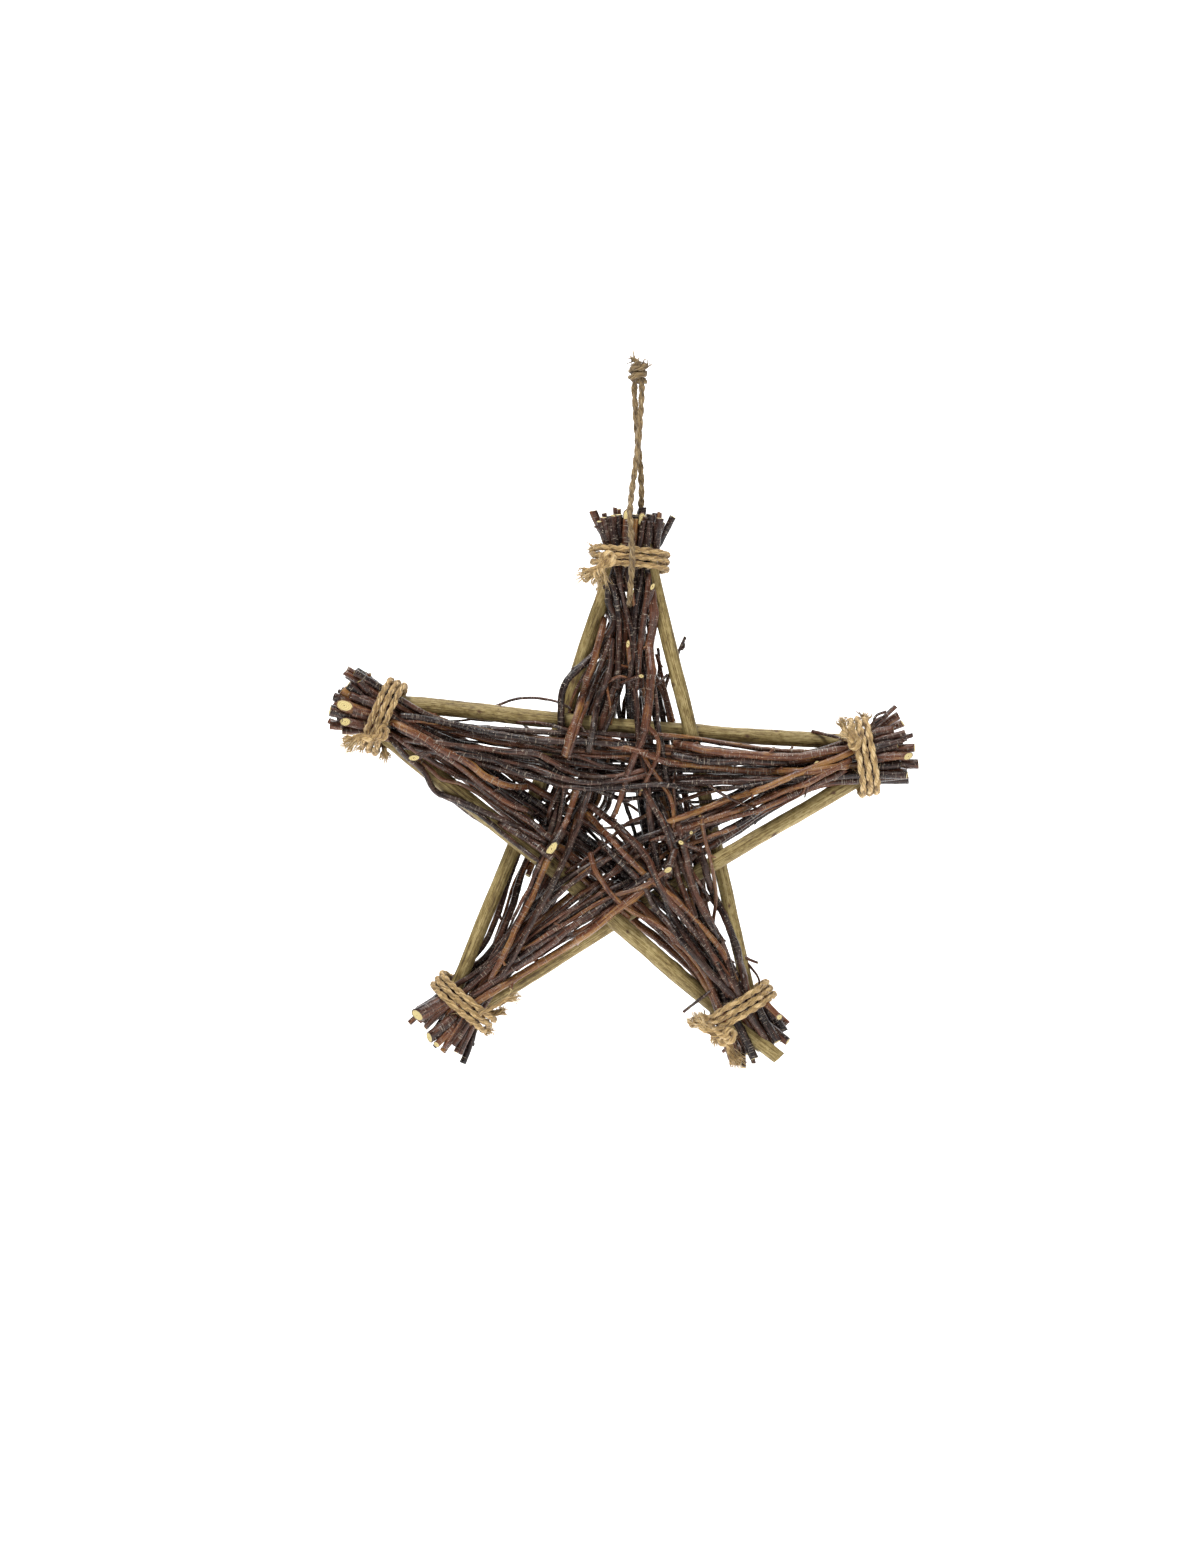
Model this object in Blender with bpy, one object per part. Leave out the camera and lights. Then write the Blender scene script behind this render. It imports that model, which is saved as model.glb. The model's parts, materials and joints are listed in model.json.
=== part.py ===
"""A hanging star made of five peeled poles and bundles of dark twigs, bound at its tips with twine.

The star lies in the XZ plane and faces -Y. Its origin is where the hanging loop rests on a nail,
just under the loop's knot. The poles are set first, and each twig is then laid on what is there
already, from behind or from the front, so that no two pieces share the same space.
"""

import math
import random

import bpy
import numpy as np

MM = 0.001
FRONT, BEHIND = -1, 1

# The middle of each tip's binding, as (x, z) from the point that the star hangs by
TIPS = {
    "top": (-3 * MM, -89 * MM),
    "left": (-129 * MM, -169 * MM),
    "right": (114 * MM, -190 * MM),
    "lower_left": (-89 * MM, -314 * MM),
    "lower_right": (51 * MM, -318 * MM),
}

# Each side of the star runs between two tips
SIDES = {
    "top_lower_left": ("top", "lower_left"),
    "top_lower_right": ("top", "lower_right"),
    "left_right": ("left", "right"),
    "right_lower_left": ("right", "lower_left"),
    "left_lower_right": ("left", "lower_right"),
}

# Each side's pole: its radius, how far outside the line between its tips it lies at its first tip,
# half way and at its second tip, and how far it runs on beyond each of them
POLES = {
    "top_lower_left": (3.9 * MM, (7.5 * MM, 3.5 * MM, 6.0 * MM), (5 * MM, 5 * MM)),
    "top_lower_right": (3.7 * MM, (8.0 * MM, 8.5 * MM, 7.0 * MM), (5 * MM, 4 * MM)),
    "left_right": (4.3 * MM, (7.0 * MM, 5.0 * MM, 7.0 * MM), (5 * MM, 5 * MM)),
    "right_lower_left": (4.0 * MM, (8.0 * MM, 6.0 * MM, 7.0 * MM), (5 * MM, 5 * MM)),
    "left_lower_right": (4.6 * MM, (7.5 * MM, 5.0 * MM, 6.5 * MM), (5 * MM, 22 * MM)),
}
POLE_TAPER = 0.1

# How each pole lies at its first tip, its two crossings and its second tip: -1 is in front of the
# pole that it meets there, and 1 is behind it
POLE_WEAVE = {
    "top_lower_left": (0.3, 1, 1, 0.3),
    "top_lower_right": (-0.3, -1, 1, 0.4),
    "left_right": (-0.3, -1, 1, 0.3),
    "right_lower_left": (-0.3, -1, 1, -0.3),
    "left_lower_right": (0.3, -1, -1, -0.5),
}
CROSSINGS = (0.382, 0.618)

# How far each side's innermost twig lies inside the line between its tips, at shares of its length
BAND_SHARES = (0.13, 0.30, 0.50, 0.70, 0.87)
BANDS = {
    "top_lower_left": (7 * MM, 18 * MM, 25 * MM, 26 * MM, 16 * MM),
    "top_lower_right": (7 * MM, 18 * MM, 25 * MM, 26 * MM, 16 * MM),
    "left_right": (15 * MM, 24 * MM, 27 * MM, 21 * MM, 13 * MM),
    "right_lower_left": (13 * MM, 18 * MM, 25 * MM, 25 * MM, 14 * MM),
    "left_lower_right": (12 * MM, 19 * MM, 26 * MM, 27 * MM, 16 * MM),
}

# A twig that strays outside its pole, at the same shares, in place of the last of its side
STRAYS = {
    ("top_lower_left", FRONT): (1 * MM, -9 * MM, 6 * MM, 12 * MM, 8 * MM),
    ("left_lower_right", BEHIND): (-10 * MM, -10 * MM, -1 * MM, 8 * MM, 8 * MM),
}

# Bundles, from the middle of a tip outwards
TWIG_INNER = 2.2 * MM
TWIG_OUTER = 11.4 * MM
END_OUT = 26 * MM
END_LENGTHS = (0.72, 1.05)
END_SPREADS = (1.05, 1.95)
GAP = 0.35 * MM

# Twigs. A slot of 0 is nearest the star's middle, and a slot of 1 is beside the pole
SLOTS_BEHIND = {
    "top_lower_left": (0.1, 0.55, 1.0, 0.33, 0.78, 0.0, 0.45),
    "top_lower_right": (0.1, 0.55, 1.0, 0.33, 0.78, 0.0, 0.45),
    "left_right": (0.2, 0.75),
    "right_lower_left": (0.1, 0.55, 1.0, 0.33),
    "left_lower_right": (0.1, 0.55, 1.0, 0.33),
}
SLOTS_IN_FRONT = {
    "top_lower_left": (0.15, 0.67),
    "top_lower_right": (0.1, 0.6),
    "left_right": (0.0, 0.45, 0.9, 0.22, 0.67, 1.0, 0.1),
    "right_lower_left": (0.0, 0.45, 0.9, 0.22, 0.67),
    "left_lower_right": (0.0, 0.45, 0.9, 0.22, 0.67),
}
SLOT_WANDER = 0.09
WANDER = 1.6 * MM
BUTT_RADII = (1.65 * MM, 2.25 * MM)
THIN_END = 0.66

# Bindings
TWINE_RADIUS = 1.65 * MM
TWINE_TURNS = 3
TAIL_LENGTH = 14 * MM
TAIL_STEPS = (0.15, 0.35, 0.5)
SLANT = 1.06

# Hanging loop. Its twine comes down the front from the knot, goes through the top arm at an eye
# between the twigs, and goes back up behind. The points of its route are (x, y, z)
EYE_IN = 23 * MM
LOOP_ROUTE = [
    (2.0 * MM, -1.9 * MM, -1.0 * MM),
    (1.5 * MM, -1.9 * MM, -11.0 * MM),
    (0.7 * MM, -1.9 * MM, -23.0 * MM),
    (-0.5 * MM, -1.9 * MM, -35.0 * MM),
    (-2.0 * MM, -2.6 * MM, -46.0 * MM),
    (-3.4 * MM, -5.4 * MM, -56.5 * MM),
    (-4.2 * MM, -9.9 * MM, -67.0 * MM),
    (-3.6 * MM, -13.5 * MM, -78.0 * MM),
    (-3.1 * MM, -14.6 * MM, -89.0 * MM),
    (-3.5 * MM, -13.9 * MM, -99.0 * MM),
    (-4.2 * MM, -11.0 * MM, -107.0 * MM),
    (-4.4 * MM, -4.5 * MM, -111.8 * MM),
    (-4.4 * MM, 4.5 * MM, -113.0 * MM),
    (-4.4 * MM, 14.5 * MM, -112.0 * MM),
    (-4.1 * MM, 22.8 * MM, -107.0 * MM),
    (-3.6 * MM, 27.2 * MM, -98.5 * MM),
    (-2.9 * MM, 27.6 * MM, -88.5 * MM),
    (-1.3 * MM, 25.6 * MM, -78.0 * MM),
    (0.5 * MM, 17.6 * MM, -67.5 * MM),
    (1.8 * MM, 8.0 * MM, -57.0 * MM),
    (1.5 * MM, 3.0 * MM, -46.0 * MM),
    (0.5 * MM, 1.9 * MM, -34.5 * MM),
    (-0.6 * MM, 1.9 * MM, -22.5 * MM),
    (-1.4 * MM, 1.9 * MM, -11.0 * MM),
    (-2.0 * MM, 1.9 * MM, -1.0 * MM),
]

# The knot is a coil round the twine's own end. Where its two ends stand, as (x, rise over the coil)
KNOT_TURNS = 2
KNOT_ENDS = ((-4.5 * MM, 5.0 * MM), (5.5 * MM, 3.5 * MM))

# Which way the two ends of each tip's twine stand off it
TAILS = {
    "top": ((-1.0, -0.6), (-1.0, -0.2)),
    "left": ((0.2, -1.0), (-0.9, -0.5)),
    "right": ((-0.4, 1.0), (0.2, 1.0)),
    "lower_left": ((1.0, 0.5), (1.0, -0.2)),
    "lower_right": ((-1.0, 0.5), (-0.3, -1.0)),
}

# The tightest radius that a twig may bend to, away from the star's plane
TWIG_BEND = 90 * MM

# How many times a stick is eased up onto what it rests on, and by what share of its shortfall
LAY_ROUNDS = 60
LAY_EASE = 0.6

# Facets, and how closely a stick is tested against the others
POLE_POINTS = 7
POINTS_A_TURN = 8
RUN_POINTS = 30
LONG_SPAN = 36 * MM
KNOT_POINTS_A_TURN = 7
SIDES_ROUND = {"pole": 2, "twig": 1, "twine": 1}
SAMPLE_STEP = 1.6 * MM
WEAVE_SAMPLES = 60
BINDING_LEVELS = 9

LAY_FRONT = ("left_lower_right", "right_lower_left", "top_lower_left", "left_right", "top_lower_right")
LAY_BEHIND = ("left_right", "top_lower_right", "left_lower_right", "right_lower_left", "top_lower_left")

# Colour and roughness of each kind of piece
FINISHES = {
    "pole": ((0.33, 0.27, 0.12, 1.0), 0.6),
    "twig": ((0.075, 0.036, 0.024, 1.0), 0.5),
    "twine": ((0.52, 0.36, 0.17, 1.0), 0.9),
}


class Rod:
    """A round stick: its points in the star's plane, its depth at each of them, and its radii."""

    def __init__(self, name, plane, depth, radius, kind, side=None):
        self.name = name
        self.side = side
        self.plane = np.asarray(plane, float)
        self.depth = np.asarray(depth, float)
        self.radius = np.asarray(radius, float)
        self.kind = kind

    def points(self):
        return np.column_stack([self.plane[:, 0], self.depth, self.plane[:, 1]])


def unit(vector):
    return vector / np.linalg.norm(vector)


def star_middle():
    return np.mean([np.array(place) for place in TIPS.values()], axis=0)


def tip_frame(tip):
    """The binding's middle, the way out of the star, and the way across the tip."""
    middle = np.array(TIPS[tip])
    out = unit(middle - star_middle())
    return middle, out, np.array([-out[1], out[0]])


def side_frame(side):
    """A side's start, its direction, the way to the star's middle, and its length."""
    first, second = (np.array(TIPS[tip]) for tip in SIDES[side])
    along = unit(second - first)
    inward = np.array([-along[1], along[0]])
    if np.dot(star_middle() - first, inward) < 0:
        inward = -inward
    return first, along, inward, np.linalg.norm(second - first)


def smooth_curve(controls, stations):
    """Points on a smooth curve through the controls, at shares of its length."""
    controls = np.asarray(controls, float)
    steps = np.linalg.norm(np.diff(controls, axis=0), axis=1)
    slopes = np.diff(controls, axis=0) / steps[:, None]
    inner = steps[1:, None] * slopes[:-1] + steps[:-1, None] * slopes[1:]
    inner /= (steps[1:] + steps[:-1])[:, None]
    tangents = np.vstack([slopes[:1], inner, slopes[-1:]])
    ends = np.concatenate([[0], np.cumsum(steps)])
    at = np.asarray(stations) * ends[-1]
    index = np.clip(np.searchsorted(ends, at, side="right") - 1, 0, len(steps) - 1)
    length = steps[index][:, None]
    share = ((at - ends[index]) / steps[index])[:, None]
    start_weight = (1 + 2 * share) * (1 - share) ** 2
    end_weight = share**2 * (3 - 2 * share)
    return (
        start_weight * controls[index]
        + end_weight * controls[index + 1]
        + share * (1 - share) ** 2 * length * tangents[index]
        - share**2 * (1 - share) * length * tangents[index + 1]
    )


def hand_of(side, tip):
    """Which side of a tip's middle a side of the star comes in on: 1 or -1."""
    middle, _, across = tip_frame(tip)
    other = next(t for t in SIDES[side] if t != tip)
    return math.copysign(1, np.dot(np.array(TIPS[other]) - middle, across))


def pole_of(side):
    """A pole on its side's outer edge, weaving past the poles that it crosses."""
    radius, (first_out, middle_out, second_out), (first_end, second_end) = POLES[side]
    start, along, inward, length = side_frame(side)
    controls = [
        start - along * first_end - inward * first_out,
        start - inward * first_out,
        start + along * length / 2 - inward * middle_out,
        start + along * length - inward * second_out,
        start + along * (length + second_end) - inward * second_out,
    ]
    stations = np.linspace(0, 1, POLE_POINTS)
    plane = smooth_curve(controls, stations)
    shares = (plane - start) @ along / length
    clear = max(pole[0] for pole in POLES.values()) + GAP
    marks = np.array([[0, *CROSSINGS, 1], np.array(POLE_WEAVE[side]) * clear]).T
    fine = smooth_curve(marks, np.linspace(0, 1, WEAVE_SAMPLES))
    depth = np.interp(shares, fine[:, 0], fine[:, 1])
    radii = radius * (1 - POLE_TAPER * stations)
    return Rod("pole_" + side, plane, depth, radii, "pole", side)


def samples_of(plane):
    """Samples close together along a stick, each as the point before it and a share of the step."""
    steps = np.linalg.norm(np.diff(plane, axis=0), axis=1)
    index, shares = [], []
    for i, step in enumerate(steps):
        for share in np.linspace(0, 1, max(2, math.ceil(step / SAMPLE_STEP)) + 1):
            index.append(i)
            shares.append(share)
    return np.array(index), np.array(shares)


def least_height(points, radii, placed, way):
    """How far out each point has to be to clear the sticks that are there already."""
    need = np.full(len(points), -1.0)
    for rod in placed:
        a, b = rod.plane[:-1], rod.plane[1:]
        run = b - a
        square = np.maximum((run**2).sum(1), 1e-12)
        share = np.clip(((points[:, None] - a) * run).sum(2) / square, 0, 1)
        away = np.linalg.norm(points[:, None] - a - share[..., None] * run, axis=2)
        rise = way * np.diff(rod.depth)
        height = way * rod.depth[:-1] + share * rise
        thick = rod.radius[:-1] + share * np.diff(rod.radius)
        steep = np.sqrt(1 + np.minimum(rise**2 / square, 1.0))
        reach = (radii[:, None] + thick) * steep + GAP
        hit = away < reach
        clear = height + np.sqrt(np.where(hit, reach**2 - away**2, 0))
        need = np.maximum(need, np.where(hit, clear, -1.0).max(axis=1))
    return need


def lay(rod, placed, way):
    """Sets a twig's depth: it rests on the sticks that are there, and bends no more than it can."""
    index, share = samples_of(rod.plane)
    steps = np.linalg.norm(np.diff(rod.plane, axis=0), axis=1)
    ends = np.concatenate([[0], np.cumsum(steps)])
    points = rod.plane[index] * (1 - share)[:, None] + rod.plane[index + 1] * share[:, None]
    radii = rod.radius[index] * (1 - share) + rod.radius[index + 1] * share
    need = least_height(points, radii, placed, way)
    along = ends[index] + share * steps[index]
    arches = need[None, :] - (ends[:, None] - along[None, :]) ** 2 / (2 * TWIG_BEND)
    height = np.maximum(arches.max(axis=1), 0)
    before, after = steps[:-1], steps[1:]
    for _ in range(LAY_ROUNDS):
        middle = (height[:-2] * after + height[2:] * before) / (before + after)
        height[1:-1] = np.maximum(height[1:-1], middle - before * after / (2 * TWIG_BEND))
        short = need - height[index] * (1 - share) - height[index + 1] * share
        lift = np.zeros(len(height))
        np.maximum.at(lift, index, short * LAY_EASE)
        np.maximum.at(lift, index + 1, short * LAY_EASE)
        height += lift
    short = need - height[index] * (1 - share) - height[index + 1] * share
    rod.depth = way * (height + max(short.max(), 0))
    placed.append(rod)


def tip_points(side, tip, at_binding, slot, dice):
    """Where a twig of this side ends beyond a tip's binding, is bound, and passes the top's eye."""
    middle, out, across = tip_frame(tip)
    sideways = across * hand_of(side, tip)
    spread = dice.uniform(*END_SPREADS)
    end = middle + out * END_OUT * dice.uniform(*END_LENGTHS) + sideways * at_binding * spread
    points = [end, middle + sideways * at_binding]
    if tip == "top":
        clear = BUTT_RADII[1] + TWINE_RADIUS + 3 * GAP
        points.append(middle - out * EYE_IN + sideways * (clear + slot * (TWIG_OUTER - TWIG_INNER)))
    return points


def twig_of(side, number, slot, dice, stray=None):
    """A twig of a side, from tip to tip."""
    start, along, inward, length = side_frame(side)
    slots = [min(max(slot + dice.uniform(-SLOT_WANDER, SLOT_WANDER), 0), 1) for _ in range(3)]
    bound = [TWIG_INNER + s * (TWIG_OUTER - TWIG_INNER) for s in slots]
    middle = []
    for i, share in enumerate(BAND_SHARES):
        here = np.interp(share, (0, 0.5, 1), slots)
        inside = stray[i] if stray else BANDS[side][i] * (1 - here)
        inside += dice.uniform(-WANDER, WANDER)
        middle.append(start + along * length * share + inward * inside)
    first_tip, second_tip = SIDES[side]
    controls = np.array([
        *tip_points(side, first_tip, bound[0], slots[0], dice),
        *middle,
        *reversed(tip_points(side, second_tip, bound[2], slots[2], dice)),
    ])
    marks = np.concatenate([[0], np.cumsum(np.linalg.norm(np.diff(controls, axis=0), axis=1))])
    halves = [(a + b) / 2 for a, b in zip(marks[:-1], marks[1:]) if b - a > LONG_SPAN]
    stations = np.sort([*marks, *halves]) / marks[-1]
    plane = smooth_curve(controls, stations)
    butt = dice.uniform(*BUTT_RADII)
    grows = stations if dice.random() < 0.5 else 1 - stations
    radius = butt * (1 - (1 - THIN_END) * grows)
    return Rod(f"twig_{side}_{number}", plane, np.zeros(len(plane)), radius, "twig", side)


def lay_twigs(placed):
    """Lays the twigs behind the poles, and then those in front of them, side by side."""
    for way, order, slots in ((BEHIND, LAY_BEHIND, SLOTS_BEHIND), (FRONT, LAY_FRONT, SLOTS_IN_FRONT)):
        for side in order:
            dice = random.Random(f"{side} {way}")
            first = 1 if way == BEHIND else len(SLOTS_BEHIND[side]) + 1
            for number, slot in enumerate(slots[side], first):
                stray = STRAYS.get((side, way)) if slot == slots[side][-1] else None
                lay(twig_of(side, number, slot, dice, stray), placed, way)


def bound_outline(tip, placed, reach):
    """The tightest ring of straight runs round everything that a binding holds."""
    middle, out, across = tip_frame(tip)
    rounds = []
    for rod in placed:
        if tip not in SIDES[rod.side]:
            continue
        local = (rod.plane - middle) @ out
        for level in np.linspace(-reach, reach, BINDING_LEVELS):
            for i in np.flatnonzero((local[:-1] - level) * (local[1:] - level) <= 0):
                share = (level - local[i]) / (local[i + 1] - local[i] + 1e-12)
                share = min(max(share, 0.0), 1.0)
                place = rod.plane[i] + share * (rod.plane[i + 1] - rod.plane[i])
                depth = rod.depth[i] + share * (rod.depth[i + 1] - rod.depth[i])
                thick = rod.radius[i] * SLANT + TWINE_RADIUS + GAP
                rounds.append(((place - middle) @ across, depth, thick))
    rounds = np.array(rounds)
    turn = 2 * math.pi / POINTS_A_TURN
    angles = turn * np.arange(POINTS_A_TURN + 1)
    support = [
        (rounds[:, 0] * math.cos(a) + rounds[:, 1] * math.sin(a) + rounds[:, 2]).max() for a in angles
    ]
    corners = []
    for a, here, beyond in zip(angles, support, support[1:]):
        on = (beyond - here * math.cos(turn)) / math.sin(turn)
        corners.append((here * math.cos(a) - on * math.sin(a), here * math.sin(a) + on * math.cos(a)))
    return corners


def binding_of(tip, placed):
    """Twine wound round a tip, with its two ends standing off on one side."""
    middle, out, across = tip_frame(tip)
    pitch = 2 * TWINE_RADIUS + GAP
    wide = pitch * TWINE_TURNS
    corners = bound_outline(tip, placed, wide / 2 + TWINE_RADIUS)
    tails = [unit(np.array(way)) for way in TAILS[tip]]
    first = 0 if tails[0] @ across > 0 else POINTS_A_TURN // 2
    plane, depth = [], []
    for j in range(TWINE_TURNS * POINTS_A_TURN + 1):
        across_at, depth_at = corners[(first + j) % POINTS_A_TURN]
        plane.append(middle + out * (pitch * j / POINTS_A_TURN - wide / 2) + across * across_at)
        depth.append(depth_at)
    for share in TAIL_STEPS:
        plane.insert(0, plane[0] + tails[0] * TAIL_LENGTH * share)
        depth.insert(0, depth[0])
        plane.append(plane[-1] + tails[1] * TAIL_LENGTH * share)
        depth.append(depth[-1])
    return Rod("binding_" + tip, plane, depth, np.full(len(plane), TWINE_RADIUS), "twine")


def hanging_twine():
    """The loop's twine, on a smooth curve through its route."""
    points = smooth_curve(LOOP_ROUTE, np.linspace(0, 1, RUN_POINTS))
    return Rod("hanging_twine", points[:, [0, 2]], points[:, 1], np.full(RUN_POINTS, TWINE_RADIUS), "twine")


def hanging_knot():
    """The twine's two ends, just over the loop: one stands up, and the other is coiled round it."""
    ring = 2 * TWINE_RADIUS + GAP
    pitch = 2 * TWINE_RADIUS + GAP
    bottom = TWINE_RADIUS + GAP
    top = bottom + pitch * KNOT_TURNS
    turns = 2 * math.pi * np.arange(KNOT_TURNS * KNOT_POINTS_A_TURN + 1) / KNOT_POINTS_A_TURN
    (first_x, first_rise), (second_x, second_rise) = KNOT_ENDS
    inner = [(first_x, 0, top + first_rise), (0, 0, top + ring / 2), (0, 0, bottom)]
    coil = [(ring * math.cos(a), ring * math.sin(a), bottom + pitch * a / (2 * math.pi)) for a in turns]
    outer = [(second_x, 0, top + second_rise)]
    points = np.array([*inner, *coil, *outer])
    return Rod("hanging_knot", points[:, [0, 2]], points[:, 1], np.full(len(points), TWINE_RADIUS), "twine")


def clear_scene():
    for obj in list(bpy.data.objects):
        bpy.data.objects.remove(obj)


def material(kind):
    """A plain finish for each kind of piece."""
    found = bpy.data.materials.get(kind)
    if found:
        return found
    made = bpy.data.materials.new(kind)
    made.use_nodes = True
    colour, roughness = FINISHES[kind]
    shader = made.node_tree.nodes["Principled BSDF"]
    shader.inputs["Base Color"].default_value = colour
    shader.inputs["Roughness"].default_value = roughness
    shader.inputs["Metallic"].default_value = 0.0
    return made


def tube(rod, collection):
    """A stick as a curve with a round bevel and closed ends."""
    curve = bpy.data.curves.new(rod.name, "CURVE")
    curve.dimensions = "3D"
    curve.bevel_depth = 1.0
    curve.bevel_resolution = SIDES_ROUND[rod.kind]
    curve.use_fill_caps = True
    spline = curve.splines.new("POLY")
    spline.points.add(len(rod.plane) - 1)
    for point, place, radius in zip(spline.points, rod.points(), rod.radius):
        point.co = (*place, 1.0)
        point.radius = radius
    spline.use_smooth = True
    obj = bpy.data.objects.new(rod.name, curve)
    obj.data.materials.append(material(rod.kind))
    collection.objects.link(obj)
    return obj


def build():
    clear_scene()
    collection = bpy.data.collections.new("twig_star_ornament")
    bpy.context.scene.collection.children.link(collection)
    placed = [pole_of(side) for side in SIDES]
    lay_twigs(placed)
    bindings = [binding_of(tip, placed) for tip in TIPS]
    for rod in [*placed, *bindings, hanging_twine(), hanging_knot()]:
        tube(rod, collection)


build()
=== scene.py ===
"""Dresses the hanging twig star: bark, peeled wood, cut ends and twisted jute.

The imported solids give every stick's and every twine's route. Each is read back from its node as a
centre line with radii, and gets its own detailed mesh there. Thin shoots, loose twigs and cut
stubs, which the solids leave out, are laid on them afterwards.
"""

import json
import logging
import math
import random
from dataclasses import dataclass, field
from enum import Enum

import bpy
import numpy as np
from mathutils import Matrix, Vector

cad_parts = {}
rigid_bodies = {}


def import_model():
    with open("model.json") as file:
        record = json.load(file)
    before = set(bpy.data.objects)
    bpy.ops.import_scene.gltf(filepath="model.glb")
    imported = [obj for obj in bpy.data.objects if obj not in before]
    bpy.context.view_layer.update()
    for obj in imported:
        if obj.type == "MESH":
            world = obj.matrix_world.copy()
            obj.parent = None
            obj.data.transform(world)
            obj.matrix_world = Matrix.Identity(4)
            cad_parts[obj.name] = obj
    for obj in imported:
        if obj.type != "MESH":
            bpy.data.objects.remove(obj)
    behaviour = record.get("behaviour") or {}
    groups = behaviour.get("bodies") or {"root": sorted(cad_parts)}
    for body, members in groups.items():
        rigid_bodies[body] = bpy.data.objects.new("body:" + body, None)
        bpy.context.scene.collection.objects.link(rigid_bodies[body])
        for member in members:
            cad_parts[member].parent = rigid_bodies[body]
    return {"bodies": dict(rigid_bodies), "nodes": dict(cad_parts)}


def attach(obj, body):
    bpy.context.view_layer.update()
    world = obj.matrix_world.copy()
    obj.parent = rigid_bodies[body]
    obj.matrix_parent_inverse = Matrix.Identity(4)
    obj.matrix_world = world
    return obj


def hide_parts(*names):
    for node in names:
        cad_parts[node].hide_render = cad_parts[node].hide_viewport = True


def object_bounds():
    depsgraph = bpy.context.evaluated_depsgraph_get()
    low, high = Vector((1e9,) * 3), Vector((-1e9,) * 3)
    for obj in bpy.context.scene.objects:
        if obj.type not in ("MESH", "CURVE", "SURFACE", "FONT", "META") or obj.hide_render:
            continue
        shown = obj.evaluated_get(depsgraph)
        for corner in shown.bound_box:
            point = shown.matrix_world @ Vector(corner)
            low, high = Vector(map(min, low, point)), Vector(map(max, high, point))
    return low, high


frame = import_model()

Array = np.ndarray
Dice = random.Random
Socket = bpy.types.NodeSocket
Pair = tuple[float, float]
Triple = tuple[float, float, float]

LOG = logging.getLogger("twig_star")
MM = 0.001
CAD_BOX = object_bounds()
BODY = "root"

# The middle of each tip's binding, as (x, z) from the point that the star hangs by
TIPS = {
    "top": (-3 * MM, -89 * MM),
    "left": (-129 * MM, -169 * MM),
    "right": (114 * MM, -190 * MM),
    "lower_left": (-89 * MM, -314 * MM),
    "lower_right": (51 * MM, -318 * MM),
}
SIDES = {
    "top_lower_left": ("top", "lower_left"),
    "top_lower_right": ("top", "lower_right"),
    "left_right": ("left", "right"),
    "right_lower_left": ("right", "lower_left"),
    "left_lower_right": ("left", "lower_right"),
}
STAR_MIDDLE = np.mean(list(TIPS.values()), axis=0)
FRONT, BEHIND = -1, 1
GAP = 0.25 * MM

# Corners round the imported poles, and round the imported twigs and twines
POLE_CORNERS = 8
ROUND_CORNERS = 6

# A side's pole and its nine twigs are the first sticks on its pile
MAIN_STICKS = 10

# How near to the middle of a tip's binding its stubs start
TIP_REACH = 30 * MM

# The picture's pixel at the point that the star hangs by, and how many mm wide a pixel is there
HANG_PIXEL = (638, 385)
PIXEL = 0.51

# Which ends of a loose twig are slipped in among the others
START_IN, END_IN = (True, False), (False, True)

# Where each kind of piece starts its random numbers
SEEDS = {"knot": 61, "loop": 62, "knot_runs": 63, "poles": 400, "twigs": 1000, "shoots": 3000, "bindings": 5000,
         "sprigs": 7000, "wanderers": 8100, "pegs": 9000, "stubs": 9500}

# A stick laid on others: how long its sinking ends are, over how far it clears a bump, and how far it
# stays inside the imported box
TUCK_LENGTH = 12 * MM
TUCK_WINDOW = 6 * MM
BOX_CLEAR = 0.5 * MM

# A cut face's width inside its rim of bark
RIM_SHARE = 0.84

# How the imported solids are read: points this near are one, faces this level are one end, and an end's
# points are this evenly far from its middle
WELD_GAP = 0.002 * MM
LEVEL_COSINE = 0.99995
ROUND_RATIO = 1.05


class Slot(Enum):
    """The record's material slots, by what they cover."""

    POLE = "peeled_pole"
    TWIG = "dark_twig"
    TWINE = "jute_twine"


def unit(vector: Array) -> Array:
    """Returns a vector at length one."""
    return vector / (np.linalg.norm(vector) + 1e-12)


def arc_marks(points: Array) -> Array:
    """Returns how far along a line each of its points is."""
    steps = np.linalg.norm(np.diff(points, axis=0), axis=1)
    return np.concatenate([[0.0], np.cumsum(steps)])


def smooth_curve(controls: Array, stations: Array) -> Array:
    """Reads a smooth curve through some points.

    Args:
        controls: The points that the curve passes, one a row.
        stations: Distances along the line from point to point.

    Returns:
        The curve's points at those distances.
    """
    controls = np.asarray(controls, float)
    marks = arc_marks(controls)
    steps = np.diff(marks)
    slopes = np.diff(controls, axis=0) / steps[:, None]
    inner = steps[1:, None] * slopes[:-1] + steps[:-1, None] * slopes[1:]
    inner /= (steps[1:] + steps[:-1])[:, None]
    tangents = np.vstack([slopes[:1], inner, slopes[-1:]])
    index = np.clip(np.searchsorted(marks, stations, side="right") - 1, 0, len(steps) - 1)
    length = steps[index][:, None]
    share = ((stations - marks[index]) / steps[index])[:, None]
    return (
        (1 + 2 * share) * (1 - share) ** 2 * controls[index]
        + share**2 * (3 - 2 * share) * controls[index + 1]
        + share * (1 - share) ** 2 * length * tangents[index]
        - share**2 * (1 - share) * length * tangents[index + 1]
    )


def even_curve(controls: Array, step: float) -> Array:
    """Returns a smooth curve through the controls, as points about one step apart."""
    controls = np.asarray(controls, float)
    total = arc_marks(controls)[-1]
    count = max(4, int(round(total / step)))
    return smooth_curve(controls, np.linspace(0, total, count + 1))


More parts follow.
